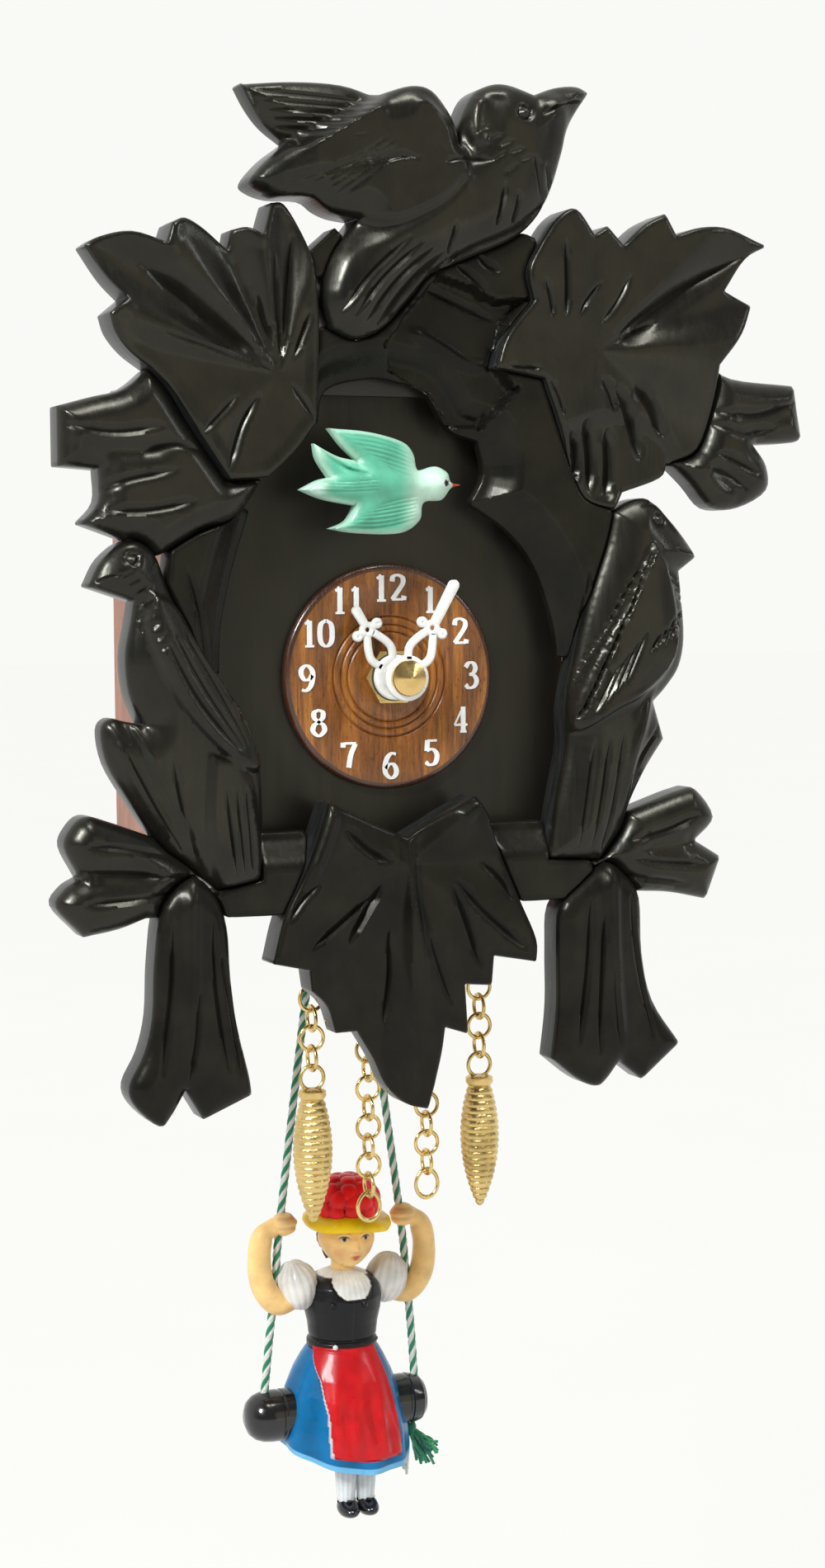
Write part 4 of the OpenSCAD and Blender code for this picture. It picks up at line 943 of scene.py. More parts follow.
def board(p, d):
    """The frame behind the leaves: a cove that rises from the dial opening."""
    away, _ = nearest(p, arch_line, True)
    h = 1.7 + 3.9 * smoothstep(away / COVE)
    hollow = [(0.5, 60), (6.2, 66.4), (11.6, 64.8), (16.7, 62.6), (22, 63), (18.6, 59.2), (17.2, 55),
              (17, 51.5), (20, 48), (14.8, 42), (9.7, 42.1), (6.2, 47.4), (-1, 51), (-3, 55)]
    h -= plate(p, np.repeat(hollow, 2, axis=0), 2.7, 1.1)  # each point twice, which keeps it a corner
    h += crease(p, [(2.6, 57.4), (7.5, 54.8), (12.2, 52.2), (16.4, 52.2)], 0.8, 0.9)
    for line in ([(3.8, 65), (10, 62.4), (17, 59.6)], [(8.6, 69), (12, 66.6), (15, 64)],
                 [(12.8, 71), (15, 68.5), (17.4, 67.5)], [(34, 18), (32.6, 8), (31.6, -4)],
                 [(36, 14), (35, 4), (34, -8)], [(-38, 18), (-35.6, 10), (-34, 2)]):
        h += groove(p, line, 0.7, 0.6)
    return np.minimum(h, BOARD_DEEP)


reliefs = {
    "top_bird": top_bird, "left_bird": left_bird, "right_bird": right_bird,
    "left_leaf": left_leaf, "right_leaf": right_leaf, "bottom_leaf": bottom_leaf,
    "left_foot": foot([[(-35, -38), (-34.4, -50), (-32.4, -64)], [(-41.6, -38), (-42, -50), (-44, -64)],
                       [(-33.4, -44), (-31.8, -54), (-30.4, -64)], [(-37.4, -50), (-38, -58), (-39.4, -65)]],
                      [(-38.4, -33), (-38.6, -50), (-39.4, -64)]),
    "right_foot": foot([[(33.4, -38), (32.8, -50), (31, -64)], [(41, -38), (42.6, -50), (45.6, -64)],
                        [(37.4, -50), (38, -58), (39, -65)], [(36, -40), (35.6, -52), (35, -66)]],
                       [(37.2, -33), (37.6, -50), (39, -66)]),
    "left_upper_branch": branch([[(-58, 41), (-50, 40), (-42, 41)], [(-55, 30), (-48, 32.4), (-40, 34)],
                                 [(-52, 27.6), (-45, 27.6), (-37, 29)], [(-46, 36.6), (-40, 38), (-35, 37)]],
                                [[(-56, 37.4), (-48, 37), (-40, 37.6)]]),
    "right_upper_branch": branch([[(74, 47), (66, 44.6), (58, 45)], [(70, 42.4), (64, 41.6), (57, 43)],
                                  [(66.4, 34.6), (62.4, 36.4), (58, 38)],
                                  [(64.6, 31.6), (61, 34), (57, 35.6)]],
                                 [[(73, 45), (66, 43), (60, 43.6)], [(64, 30.6), (60, 33), (56, 36)]]),
    "left_lower_branch": branch([[(-56, -25.6), (-50, -26.2), (-41, -28)],
                                 [(-57, -30), (-49, -30.4), (-40, -31.6)],
                                 [(-57, -35), (-49, -34.6), (-40, -34)]],
                                [[(-55, -31.4), (-50, -31.4), (-44, -31.6)]]),
    "right_lower_branch": branch([[(55, -24.6), (49, -27), (41, -29)], [(56, -33.6), (49, -33), (41, -32)],
                                  [(53, -37), (48, -36), (40, -35)]],
                                 [[(54, -29.6), (49, -30), (43, -30.6)]]),
}
# These pieces take the darker, shaded copy of the lacquer: painted shade.
LOW_PIECES = ("bottom_leaf", "left_foot", "right_foot")
for carved_name, relief_of in reliefs.items():
    carve(carved_name, cad_loops(carved_name, BACK_Y, 1), relief_of,
          mats=[SHADED_LACQUER if carved_name in LOW_PIECES else LACQUER, LACQUER_EDGE])
# The frame behind the leaves takes the shaded copy too: painted shade in its cove.
carve("front_board", cad_loops("front_board", BACK_Y - BOARD_DEEP, -1), board, bevel=0.5,
      mats=[SHADED_LACQUER, SHADED_LACQUER])


# ---------------------------------------------------------------- dial
DIAL_WOOD = timber("dial_wood", (0.024, 0.006, 0.002), (0.17, 0.048, 0.006), (0.5, 0.185, 0.022),
                   260, 0.3, 0.12, pores=0.8)
DIAL_RIM = timber("dial_rim", (0.02, 0.006, 0.003), (0.05, 0.014, 0.005), (0.09, 0.028, 0.009),
                  260, 0.26, 0.6)
WHITE_PAINT = enamel("white_paint", (0.86, 0.87, 0.86), (0.72, 0.74, 0.73), 0.4, 0.2, 900, 0.00005)
HAND_WHITE = enamel("hand_white", (0.84, 0.85, 0.82), (0.66, 0.67, 0.62), 0.28, 0.5, 500, 0.00008)
FACE_Y = -41.6


DIAL_COLS = 144
dial_profile = [(4.1, 40.0), (18.9, 40.0), (19.0, 40.3), (19.0, 41.0), (18.85, 41.35), (18.5, 41.55),
                (18.0, 41.6)]
for ring in (10.2, 8.8, 7.6):
    dial_profile += [(ring + 0.42, 41.6), (ring + 0.2, 41.48), (ring, 41.22), (ring - 0.2, 41.48),
                     (ring - 0.42, 41.62)]
dial_profile += [(6.0, 41.62), (4.1, 41.6)]
dial_verts, _ = lathe(dial_profile, DIAL_COLS, (0, 0, DIAL_Z), "y")
dial_faces = rings_to_faces(len(dial_profile), DIAL_COLS, joined=True)
dial_mats = [1 if i // DIAL_COLS in range(1, 6) else 0 for i in range(len(dial_faces))]
build("dial_disc", dial_verts, dial_faces, [DIAL_WOOD, DIAL_RIM], "clock", ["dial"], dial_mats)

# Skeletons of the figures in a box 0.6 wide and 1 high; heavy upright and thin level strokes.
FIGURES = {
    "0": [[(0.3, 0.98), (0.11, 0.84), (0.06, 0.5), (0.11, 0.16), (0.3, 0.02), (0.49, 0.16), (0.54, 0.5),
           (0.49, 0.84), (0.3, 0.98)]],
    "1": [[(0.3, 0.02), (0.3, 0.97)], [(0.12, 0.86), (0.22, 0.9), (0.3, 0.97)],
          [(0.13, 0.03), (0.47, 0.03)]],
    "2": [[(0.08, 0.74), (0.12, 0.92), (0.3, 0.98), (0.49, 0.88), (0.5, 0.68), (0.34, 0.42), (0.08, 0.06)],
          [(0.07, 0.07), (0.3, 0.07), (0.53, 0.07)], [(0.53, 0.05), (0.56, 0.2)]],
    "3": [[(0.08, 0.8), (0.2, 0.96), (0.38, 0.96), (0.47, 0.78), (0.4, 0.6), (0.22, 0.52)],
          [(0.22, 0.53), (0.42, 0.48), (0.52, 0.28), (0.42, 0.07), (0.2, 0.02), (0.07, 0.15)]],
    "4": [[(0.4, 0.02), (0.4, 0.98)], [(0.4, 0.96), (0.05, 0.3)], [(0.04, 0.29), (0.57, 0.29)],
          [(0.27, 0.03), (0.53, 0.03)]],
    "5": [[(0.14, 0.94), (0.34, 0.94), (0.52, 0.94)], [(0.15, 0.96), (0.12, 0.55)],
          [(0.12, 0.56), (0.3, 0.62), (0.47, 0.52), (0.53, 0.32), (0.44, 0.08), (0.22, 0.02), (0.07, 0.13)]],
    "6": [[(0.5, 0.92), (0.34, 0.95), (0.17, 0.8), (0.08, 0.5), (0.1, 0.2), (0.3, 0.02), (0.49, 0.13),
           (0.52, 0.34), (0.4, 0.54), (0.22, 0.53), (0.1, 0.38)]],
    "7": [[(0.06, 0.93), (0.3, 0.93), (0.55, 0.93)], [(0.06, 0.96), (0.05, 0.78)],
          [(0.54, 0.92), (0.36, 0.5), (0.27, 0.02)]],
    "8": [[(0.3, 0.98), (0.14, 0.9), (0.13, 0.7), (0.3, 0.54), (0.48, 0.42), (0.52, 0.2), (0.3, 0.02),
           (0.08, 0.2), (0.13, 0.42), (0.3, 0.54), (0.46, 0.7), (0.46, 0.9), (0.3, 0.98)]],
    "9": [[(0.1, 0.08), (0.26, 0.05), (0.43, 0.2), (0.52, 0.5), (0.5, 0.8), (0.3, 0.98), (0.11, 0.87),
           (0.08, 0.66), (0.2, 0.46), (0.38, 0.47), (0.5, 0.62)]],
}
FIGURE_H, FIGURE_W, FIGURE_STEP, FIGURE_R = 4.5, 4.6, 2.95, 15.0


def strip(path, widths, back, front, bevel=0.05):
    """A flat bar with bevelled edges along a path in the clock plane; y runs from back to front."""
    path = np.asarray(path, float)
    verts = []
    for p, n, w in zip(path, normals(np.gradient(path, axis=0)), np.broadcast_to(widths, len(path))):
        flat = 1 - 2 * bevel / w
        shoulder = front + bevel
        section = (1, back), (1, shoulder), (flat, front), (-flat, front), (-1, shoulder), (-1, back)
        for side, y in section:
            q = p + n * side * w / 2
            verts.append((q[0], y, q[1]))
    return verts, rings_to_faces(len(path), len(section))


def figure(char, x, z, heap, layer):
    """One figure's strokes, each a hair further out than the one before, so that no two share a plane."""
    for stroke in FIGURES[char]:
        pts = [(x + px * FIGURE_W, z + (pz - 0.5) * FIGURE_H) for px, pz in stroke]
        path = curve_through(pts, 5 * len(pts)) if len(pts) > 2 else np.linspace(pts[0], pts[1], 6)
        along = np.gradient(path, axis=0)
        upright = np.abs(along[:, 1]) / np.maximum(np.hypot(*along.T), TINY)
        width = 0.42 + 0.5 * upright ** 1.5
        slanted = char in "47" and abs(stroke[0][0] - stroke[-1][0]) > 0.2 and stroke[-1][1] == 0.3
        v, f = strip(path, 0.34 if slanted else width, FACE_Y + 0.02, FACE_Y - 0.12 - 0.004 * layer)
        heap.put(v, f)
        layer += 1
    return layer


numerals, layer = Heap(), 0
for hour in range(1, 13):
    turn = math.radians(30 * hour)
    chars = str(hour)
    width = FIGURE_STEP * (len(chars) - 1) + 0.6 * FIGURE_W
    x0 = FIGURE_R * math.sin(turn) - width / 2
    for at, char in enumerate(chars):
        layer = figure(char, x0 + at * FIGURE_STEP, FIGURE_R * math.cos(turn) + DIAL_Z, numerals, layer)
numerals.make("dial_figures", [WHITE_PAINT], "clock", slot="white_plastic")


# ---------------------------------------------------------------- hands
HAND_THICK = 0.75


def circle(r, count=48, x=0.0, z=0.0):
    """A closed round path in the clock plane."""
    return [(x + r * math.cos(a), z + r * math.sin(a)) for a in np.linspace(0, 2 * math.pi, count + 1)]


def hand(name, body, reach, degrees, back, wide):
    """Ring hub, an open oval of two bars, a cross with a hole and a blunt pointer."""
    heap = Heap()
    cross = 9.5
    front = back - HAND_THICK
    parts = [(circle(3.05), 1.6, 0.0), (circle(0.9, 24, 0, cross), 0.95, 0.02)]
    for s in (-1, 1):
        bow = [(s * 1.3, 2.9), (s * 2.05, 4.6), (s * 1.75, 6.3), (s * 0.6, cross - 0.8)]
        parts.append((curve_through(bow, 20), 1.3, 0.01 + 0.01 * s))
        parts.append(([(s * 0.7, cross), (s * 1.5, cross), (s * 2.0, cross)], 1.4, 0.03))
        parts.append((circle(0.46, 16, s * 2.05, cross), 0.91, 0.04))
    shaft = np.linspace(cross + 0.9, reach - wide / 2, 12)
    blunt = np.linspace(0.25, math.pi / 2, 7)
    heights = np.r_[shaft, reach - wide / 2 + wide / 2 * np.sin(blunt)]
    widths = np.r_[np.linspace(wide * 0.85, wide, len(shaft)), np.maximum(0.12, wide * np.cos(blunt))]
    parts.append(([(0, z) for z in heights], widths, 0.05))
    turn = math.radians(degrees)
    for path, width, lift in parts:
        v, f = strip(path, width, back, front - lift, 0.05 if np.ndim(width) else 0.22)
        v = [(x * math.cos(turn) + z * math.sin(turn), y, z * math.cos(turn) - x * math.sin(turn) + DIAL_Z)
             for x, y, z in v]
        heap.put(v, f)
    heap.make(name + "_white", [HAND_WHITE], body, [name], "white_plastic", 50)


hand("hour_hand", "hour", 14, 328, -43.8, 1.55)
hand("minute_hand", "minute", 18.5, 29, -48.8, 1.85)


def cap_nut():
    """Brass nut that holds the hands: a knurled edge and a low cone."""
    brass = metal("turned_brass", (0.78, 0.55, 0.22), (0.5, 0.32, 0.1), 0.2)
    profile = [(0.01, 49.5), (2.95, 49.55), (3.02, 49.7), (3.02, 50.2), (2.92, 50.36), (2.6, 50.46),
               (1.9, 50.78), (1.2, 51.08), (0.6, 51.32), (0.3, 51.42), (0.01, 51.45)]
    verts, faces = lathe(profile, 60, (0, 0, DIAL_Z), "y",
                         lambda i, a: 1 - 0.012 * (1 + math.cos(30 * a)) if 1 < i < 5 else 1)
    build("cap_nut", verts, faces, [brass], "minute", ["hand_nut"], sharp=30)


cap_nut()


# ---------------------------------------------------------------- rocking bird
def painted(name, rough, coat, spec=0.5):
    """Paint whose colour is the piece's own tint, with pooling and a little dirt."""
    n = Nodes(name, (0.8, 0.8, 0.8), rough, coat=coat, coat_rough=0.08, spec=spec)
    pool = n.noise(700, 4, 0.55, 0.3)
    dirt = n.noise(280, 4)
    n.color(n.mix(n.span(dirt, 0.35, 0.75, 0.0, 0.3), n.attribute("tint"), (0.08, 0.05, 0.03), "MULTIPLY"))
    n.rough(pool, rough - 0.06, rough + 0.1)
    n.bump(pool, 0.00008, 0.4)
    return n.mat


BIRD_PAINT = painted("bird_paint", 0.42, 0.1)


def green_body(d):
    """The rocking bird's height before any cut, from the distance to its edge."""
    return 1.7 + dome(d, 1.3, 3.2)


def green_bird(p, d):
    h = green_body(d)
    h += crease(p, [(-18, 31.2), (-10, 31.8), (-3, 32.2), (3, 32.2)], 2.3, 1.1)
    head, _ = nearest(p, [(4.8, 32.1), (5.0, 32.1)])
    h += 0.9 * np.exp(-(head / 2.0) ** 2)
    for k in range(7):
        upper = [(-13 + 1.2 * k, 40.1 - 0.8 * k), (-6 + 0.6 * k, 39.4 - 0.95 * k), (0.2, 37.3 - 0.75 * k)]
        lower = [(-12.6 + 0.9 * k, 24.9 + 0.55 * k), (-6 + 0.5 * k, 24.9 + 0.75 * k), (0.9, 26.4 + 0.6 * k)]
        h += groove(p, upper, 0.36, 0.2) + groove(p, lower, 0.36, 0.2)
    for k in range(4):
        tail = [(-17.6 + 0.8 * k, 30.7 + 0.6 * k), (-12, 30.7 + 0.5 * k), (-6, 31 + 0.55 * k)]
        fork = [(-16 + 0.7 * k, 37.6 - 0.3 * k), (-12.6 + 0.5 * k, 34.9 - 0.2 * k), (-8, 33.6 - 0.1 * k)]
        h += groove(p, tail, 0.34, 0.2) + groove(p, fork, 0.34, 0.2)
    return np.minimum(h, 4.5)


def green_bird_paint(p, d, h):
    """Jade that pales toward the head, the tail and the edges, with painted shade darkening the cuts, with
    eye and bill.
    """
    jade, pale, cut_shade_tone = np.array(((0.10, 0.45, 0.29), (0.62, 0.84, 0.7), (0.04, 0.27, 0.16)))
    t = smoothstep((p[:, 0] + 3.4) / 5) * 0.85
    t = np.maximum(t, 0.75 * np.exp(-(d / 0.55) ** 2))
    t = np.maximum(t, smoothstep((-14.2 - p[:, 0]) / 3) * 0.8)
    # Painted shade: the deeper a cut, the darker its colour.
    cut = np.clip((green_body(d) - h) * 3, 0, 0.75) * (1 - t)
    rgb = jade + (pale - jade) * t[:, None]
    rgb = rgb + (cut_shade_tone - rgb) * cut[:, None]
    away, _ = nearest(p, [(5.5, 32.2), (5.56, 32.2)])
    for radius, tone in ((0.85, (0.75, 0.85, 0.78)), (0.5, (0.005, 0.005, 0.005))):
        rgb = np.where((away < radius)[:, None], tone, rgb)
    return np.where((p[:, 0] > 7.1)[:, None], (0.55, 0.07, 0.03), rgb)


GREEN_BIRD_BACK = -50.0
bird_loop = max(cad_loops("rocking_bird", GREEN_BIRD_BACK, 1), key=lambda l: np.ptp(l[:, 0]))
carve("rocking_bird", [bird_loop], green_bird, back=GREEN_BIRD_BACK, step=0.26, bevel=0.5, thin=0.5,
      mats=[BIRD_PAINT, BIRD_PAINT], body="bird", paint=green_bird_paint)


# ---------------------------------------------------------------- chains and weights
LINK_WIRE, LINK_R, LINK_PITCH = 0.35, 2.1, 3.4
OUTER_Y, OUTER_EYE, OUTER_LINKS = -39, -83.4, 8
LEFT_X, RIGHT_X = -13.8, 17.3
INNER_Y, INNER_LINKS, INNER_LAST = -32.5, 15, 1.2


def link_height(eye_z, place):
    """Height of a chain's link, counted from its eye."""
    return eye_z + 0.8 - LINK_R - LINK_PITCH * place


def ring_link(heap, x, y, z, turned, tall=1.0):
    """A wire ring, flat to the front or turned edge on; a tall one is drawn out and narrower at the top."""
    rows, cols = 28, 8
    verts = []
    for i in range(rows):
        a = 2 * math.pi * i / rows
        narrow = 1 - 0.44 * (tall - 1) * max(0, math.sin(a))
        for j in range(cols):
            b = 2 * math.pi * j / cols
            q = LINK_R + LINK_WIRE * math.cos(b)
            u, v, w = q * math.cos(a) * narrow, q * math.sin(a) * tall, LINK_WIRE * math.sin(b)
            verts.append((x + (w if turned else u), y + (u if turned else w), z + v - LINK_R * (tall - 1)))
    heap.put(verts, rings_to_faces(rows, cols, joined=True))


def chain(name, x, y, eye_z, count, last=1.0):
    """Links hanging from an eye, every second one turned; the last one may be drawn out."""
    heap = Heap()
    for i in range(count):
        ring_link(heap, x, y, link_height(eye_z, i), i % 2, last if i == count - 1 else 1.0)
    heap.make(name + "_links", [BRASS], name, [name], "brass", 60)


chain("chain_left", LEFT_X, OUTER_Y, OUTER_EYE, OUTER_LINKS)
chain("chain_right", RIGHT_X, OUTER_Y, OUTER_EYE, OUTER_LINKS)
chain("chain_inner_left", -1, INNER_Y, -87.3, INNER_LINKS, INNER_LAST)
chain("chain_inner_right", 10, INNER_Y, -84.2, INNER_LINKS, INNER_LAST)


def weight(name, x):
    """A cast pine-cone weight: collar, loop and rows of small scales."""
    heap = Heap()
    loop_z = link_height(OUTER_EYE, OUTER_LINKS)
    ring_link(heap, x, OUTER_Y, loop_z, 0)
    profile = [(0.02, 0.35), (1.2, 0.3), (2.0, 0.1), (2.35, -0.1), (2.4, -0.9), (2.2, -1.25), (1.95, -1.5),
               (2.0, -1.8)]
    collar, rows, scales, long = len(profile), 152, 19, 21
    for i in range(rows + 1):
        t = i / rows
        r = 3.35 * math.sin(math.pi * (0.18 + 0.8 * t)) ** 0.75
        rib = abs(math.sin(math.pi * scales * t))
        profile.append((max(0.12, r - 0.2 + 0.2 * rib ** 0.7), profile[collar - 1][1] - long * t))

    def bumps(i, a):
        if i < collar:
            return 1.0
        t = (i - collar) / rows
        shift = math.pi * (int(scales * t) % 2)
        return 1 + 0.022 * math.cos(16 * a + shift) * abs(math.sin(math.pi * scales * t))

    heap.put(*lathe(profile, 54, (x, OUTER_Y, loop_z - LINK_R), "z", bumps))
    heap.make(name + "_cast", [CAST_BRASS], name, [name], "brass", 50)


weight("weight_left", LEFT_X)
weight("weight_right", RIGHT_X)


# ---------------------------------------------------------------- doll
DOLL_PAINT = painted("doll_paint", 0.3, 0.12, spec=0.22)
GLOSS_BLACK = enamel("gloss_black", (0.006, 0.006, 0.007), (0.012, 0.012, 0.013), 0.16, 0.35, 300, 0.00012)
# The hat's red is a lighter copy of the apron red, and the brim's yellow is raised too, to make up for the
# shade over the hat: painted light.
BLUE, RED, LIT_HAT_RED, YELLOW, SKIN_TONE, CREAM, BLACK_TONE = np.array((
    (0.0, 0.165, 0.41), (0.55, 0.008, 0.012), (0.95, 0.01, 0.012), (1.0, 0.65, 0.005), (0.98, 0.645, 0.26),
    (0.84, 0.83, 0.79), (0.008, 0.008, 0.009)))


def trunk():
    """Bodice, belt, apron and bell skirt as one painted shell."""
    shape = [(0.0, 2.6), (0.5, 3.9), (1.4, 5.7), (2.6, 6.6), (4.6, 7.1), (6.8, 6.9), (9.4, 6.3), (12.0, 6.0),
             (12.6, 6.4), (13.4, 6.4), (14.0, 6.5), (16.0, 7.6), (19.0, 9.0), (22.5, 10.2), (26.0, 11.1),
             (29.5, 11.8), (33.4, 12.1), (35.0, 12.0)]
    depth, radius = np.array(shape).T
    rows, cols = 190, 230
    down, angle = grid_of(rows, cols, 0, 35, -180, 180)
    r = np.interp(down, depth, radius)
    flare = smoothstep((down - 14) / 18)
    hem = 35 - 4.6 * smoothstep((np.abs(((angle - 35 + 180) % 360) - 180) - 20) / 120)
    z = -108.6 - np.where(down > 14, 14 + (down - 14) * (hem - 14) / 21, down)
    left = np.interp(down, [13, 14.5, 19, 25, 34], [-78, -70, -46, -34, -29])
    right = np.interp(down, [13, 16, 34], [46, 44, 40])
    apron = (angle > left) & (angle < right) & (down > 13.3) & (down < 32.6)
    edge = np.minimum(np.minimum(angle - left, right - angle) * r / 57, np.minimum(down - 13.3, 32.6 - down))
    pleats = 0.28 * np.sin(np.radians(angle * 10 + 20 * np.sin(down / 4))) * flare * ~apron
    folds = (0.3 * np.sin(np.radians(angle * 15 + down * 6)) * np.exp(-((down - 26) / 6) ** 2)
             + 0.22 * np.sin(np.radians(angle * 27 - down * 15)) * np.exp(-((down - 28) / 4) ** 2))
    r = r + pleats + apron * (0.42 * smoothstep(edge / 0.5) + folds * smoothstep(edge / 1.5))
    r = r - 0.35 * np.exp(-((down - 12.2) / 0.25) ** 2) - 0.3 * np.exp(-((down - 13.9) / 0.25) ** 2) * ~apron
    neck = 4.4 - np.maximum(0, np.abs(angle - 2) - 12) ** 1.5 / 47
    blouse = (down < neck) & (np.abs(angle) < 62) | (down < 0.9)
    bodice = (down < 13.9) & ~blouse & ~apron
    r = r + 0.28 * smoothstep((down - neck) / 0.5) * (down < 13) * (np.abs(angle) < 62)
    seam = np.exp(-(angle / 2.2) ** 2) * (down > 4.5) * (down < 12)
    r = r - 0.18 * seam - 0.1 * np.abs(np.sin(np.radians(angle * 20))) * blouse
    tint = np.broadcast_to(BLUE, (rows, cols, 3)).copy()
    # Painted light and shade on the skirt's pleats: one side of each pleat lighter, the other darker.
    tint *= (0.82 + 0.3 * np.sin(np.radians(angle * 10 + 20 * np.sin(down / 4) + 40)) * 0.4)[..., None]
    # The paler blue along the hem is a painted highlight where the skirt's rim turns under.
    tint[down > 33.9] = (0.16, 0.48, 0.78)
    tint[bodice] = BLACK_TONE
    tint[blouse] = CREAM
    tint[apron] = RED
    worn = apron & (angle - left < 2.2) & (down > 14.5)
    tint[worn] = (0.62, 0.6, 0.62)
    radian = np.radians(angle)
    verts = np.stack([r * np.sin(radian), SWING_Y - r * np.cos(radian) * 0.97, z + DIAL_Z], -1)
    heap = Heap()
    heap.put_grid(verts, tint, caps=False)
    rim = verts[-1]
    inner = [rim]
    for scale, lift in ((0.965, 0.1), (0.93, 0.9), (0.5, 1.6), (0.02, 1.8)):
        ring = rim.copy()
        ring[:, 0] *= scale
        ring[:, 1] = SWING_Y + (ring[:, 1] - SWING_Y) * scale
        ring[:, 2] += lift
        inner.append(ring)
    heap.put_grid(np.array(inner), (0.02, 0.16, 0.4), caps=False)
    shut = verts[0] * (0.02, 1, 1)
    shut[:, 1] = SWING_Y
    heap.put_grid(np.array([verts[0], shut]), CREAM, caps=False)
    # The two black beads are buttons; the small pale bead on the belt stands for a glint seen there, a
    # painted highlight.
    for turn, z_at, size, tone in ((-33, -113.8, 0.62, BLACK_TONE), (15, -113.8, 0.62, BLACK_TONE),
                                   (-31, -121.6, 0.5, (0.8, 0.8, 0.78))):
        a = math.radians(turn)
        reach = 7.1 if z_at > -118 else 6.4
        place = (reach * math.sin(a), SWING_Y - reach * math.cos(a), z_at + DIAL_Z)
        bead = [(max(0.01, size * math.sin(t)), size * math.cos(t)) for t in np.linspace(0, math.pi, 12)]
        heap.put(*lathe(bead, 18, place), 0, tone)
    heap.make("doll_dress", [DOLL_PAINT], "swing", ["doll_body"], "dress", 50, True)


def head():
    """Round painted head: brows, eyes, cheeks and lips on the front, hair in rolls at the back."""
    rows, cols = 130, 200
    cx, cy, cz = 0.7, -17.0, -102.9
    up, angle = grid_of(rows, cols, -0.5 * math.pi, 0.42 * math.pi, -180, 180)
    a = np.radians(angle)
    low = smoothstep(-np.sin(up) * 1.1)
    front = np.clip(np.cos(a), 0, 1)
    rx = 5.1 * (1 - 0.17 * low)
    ry = 5.1 * (1 - 0.12 * low * (1 - front)) + 0.5 * low * front ** 2
    x = rx * np.cos(up) * np.sin(a)
    y = -ry * np.cos(up) * np.cos(a)
    z = 5.2 * np.sin(up) * (1 + 0.03 * front)

    def hot(turn, height, wide, tall):
        """A soft spot, 1 in its middle, at an angle and a height on the head."""
        return np.exp(-((angle - turn) / wide) ** 2 - ((z - height) / tall) ** 2)

    push = 0.0
    for amount, *spot in ((0.85, 0, -1.1, 6, 0.55), (0.4, 0, -0.2, 5, 0.9), (0.42, 0, -2.55, 13, 0.3),
                          (0.3, 0, -3.1, 11, 0.3), (0.45, 0, -4.4, 16, 0.7)):
        push = push + amount * hot(*spot)
    for side in (-1, 1):
        for amount, turn, *spot in ((0.25, 38, -1.9, 15, 1.1), (-0.4, 25, 0.75, 12, 0.6),
                                    (0.22, 25, 0.7, 7, 0.3), (0.18, 25, 1.75, 12, 0.3)):
            push = push + amount * hot(side * turn, *spot)
    hair = smoothstep((np.abs(angle) - 122 - 4 * np.sin(z * 1.3)) / 5)
    push = push + hair * (0.45 + 0.12 * np.sin(np.radians(angle * 16)) + 0.05 * np.sin(z * 6))
    x, y = x + push * np.sin(a) * np.cos(up), y - push * np.cos(a) * np.cos(up)
    tint = np.broadcast_to(SKIN_TONE, (rows, cols, 3)).copy()

    def paint(amount, tone):
        np.add(tint, (np.array(tone) - tint) * np.clip(amount, 0, 1)[..., None], out=tint)

    paint(0.55 * hot(-37, -1.9, 15, 1.0) + 0.55 * hot(37, -1.9, 15, 1.0), (0.82, 0.30, 0.14))
    # Painted shadow under the nose.
    paint(0.35 * hot(0, -1.75, 9, 0.35), (0.6, 0.27, 0.12))
    paint(1.7 * hot(0, -2.6, 10, 0.24), (0.66, 0.13, 0.08))
    paint(1.5 * hot(0, -3.0, 8, 0.22), (0.7, 0.16, 0.1))
    for side in (-25, 25):
        off = angle - side
        for wide, tall, amount, tone in ((10.5, 0.5, 5, (0.78, 0.74, 0.66)),
                                         (4.6, 0.44, 5, (0.12, 0.09, 0.05)),
                                         (2.2, 0.2, 6, (0.01, 0.008, 0.006))):
            paint(amount * (1 - (off / wide) ** 2 - ((z - 0.72) / tall) ** 2), tone)
        for wide, height, bend, tall, amount, tone in ((11, 1.13, 22, 0.15, 1.4, (0.16, 0.07, 0.03)),
                                                       (13, 1.95, 26, 0.17, 1.3, (0.2, 0.09, 0.03))):
            paint(amount * np.exp(-(off / wide) ** 4 - ((z - height + (off / bend) ** 2) / tall) ** 2), tone)
    paint(hair, (0.16, 0.07, 0.025))
    heap = Heap()
    heap.put_grid(np.stack([cx + x, cy + y, cz + z + DIAL_Z], -1), tint)
    neck = lathe([(2.2, 0), (2.1, -1), (2.2, -2.6), (2.7, -3.6)], 40, (0.2, -16.3, -106.2 + DIAL_Z))
    heap.put(*neck, 0, SKIN_TONE)
    rng = random.Random(11)
    for k in range(9):
        turn = math.radians(155 + 50 * k / 8)
        line = [(cx + 5.2 * math.sin(turn) * s, cy - 5.2 * math.cos(turn) * s, cz + z0 + DIAL_Z)
                for s, z0 in ((0.95, 2.6), (1.08, 0.6), (1.12, -1.6), (0.85, -4.4))]
        roll = tube(curve_through(line, 22), 0.62, 8, 0.3, lambda t, i: 1 + 0.18 * math.sin(2 * t))
        heap.put(*roll, 0, np.array((0.14, 0.06, 0.022)) * rng.uniform(0.8, 1.3))
    heap.make("doll_face", [DOLL_PAINT], "swing", ["doll_head"], "skin", 60, True)


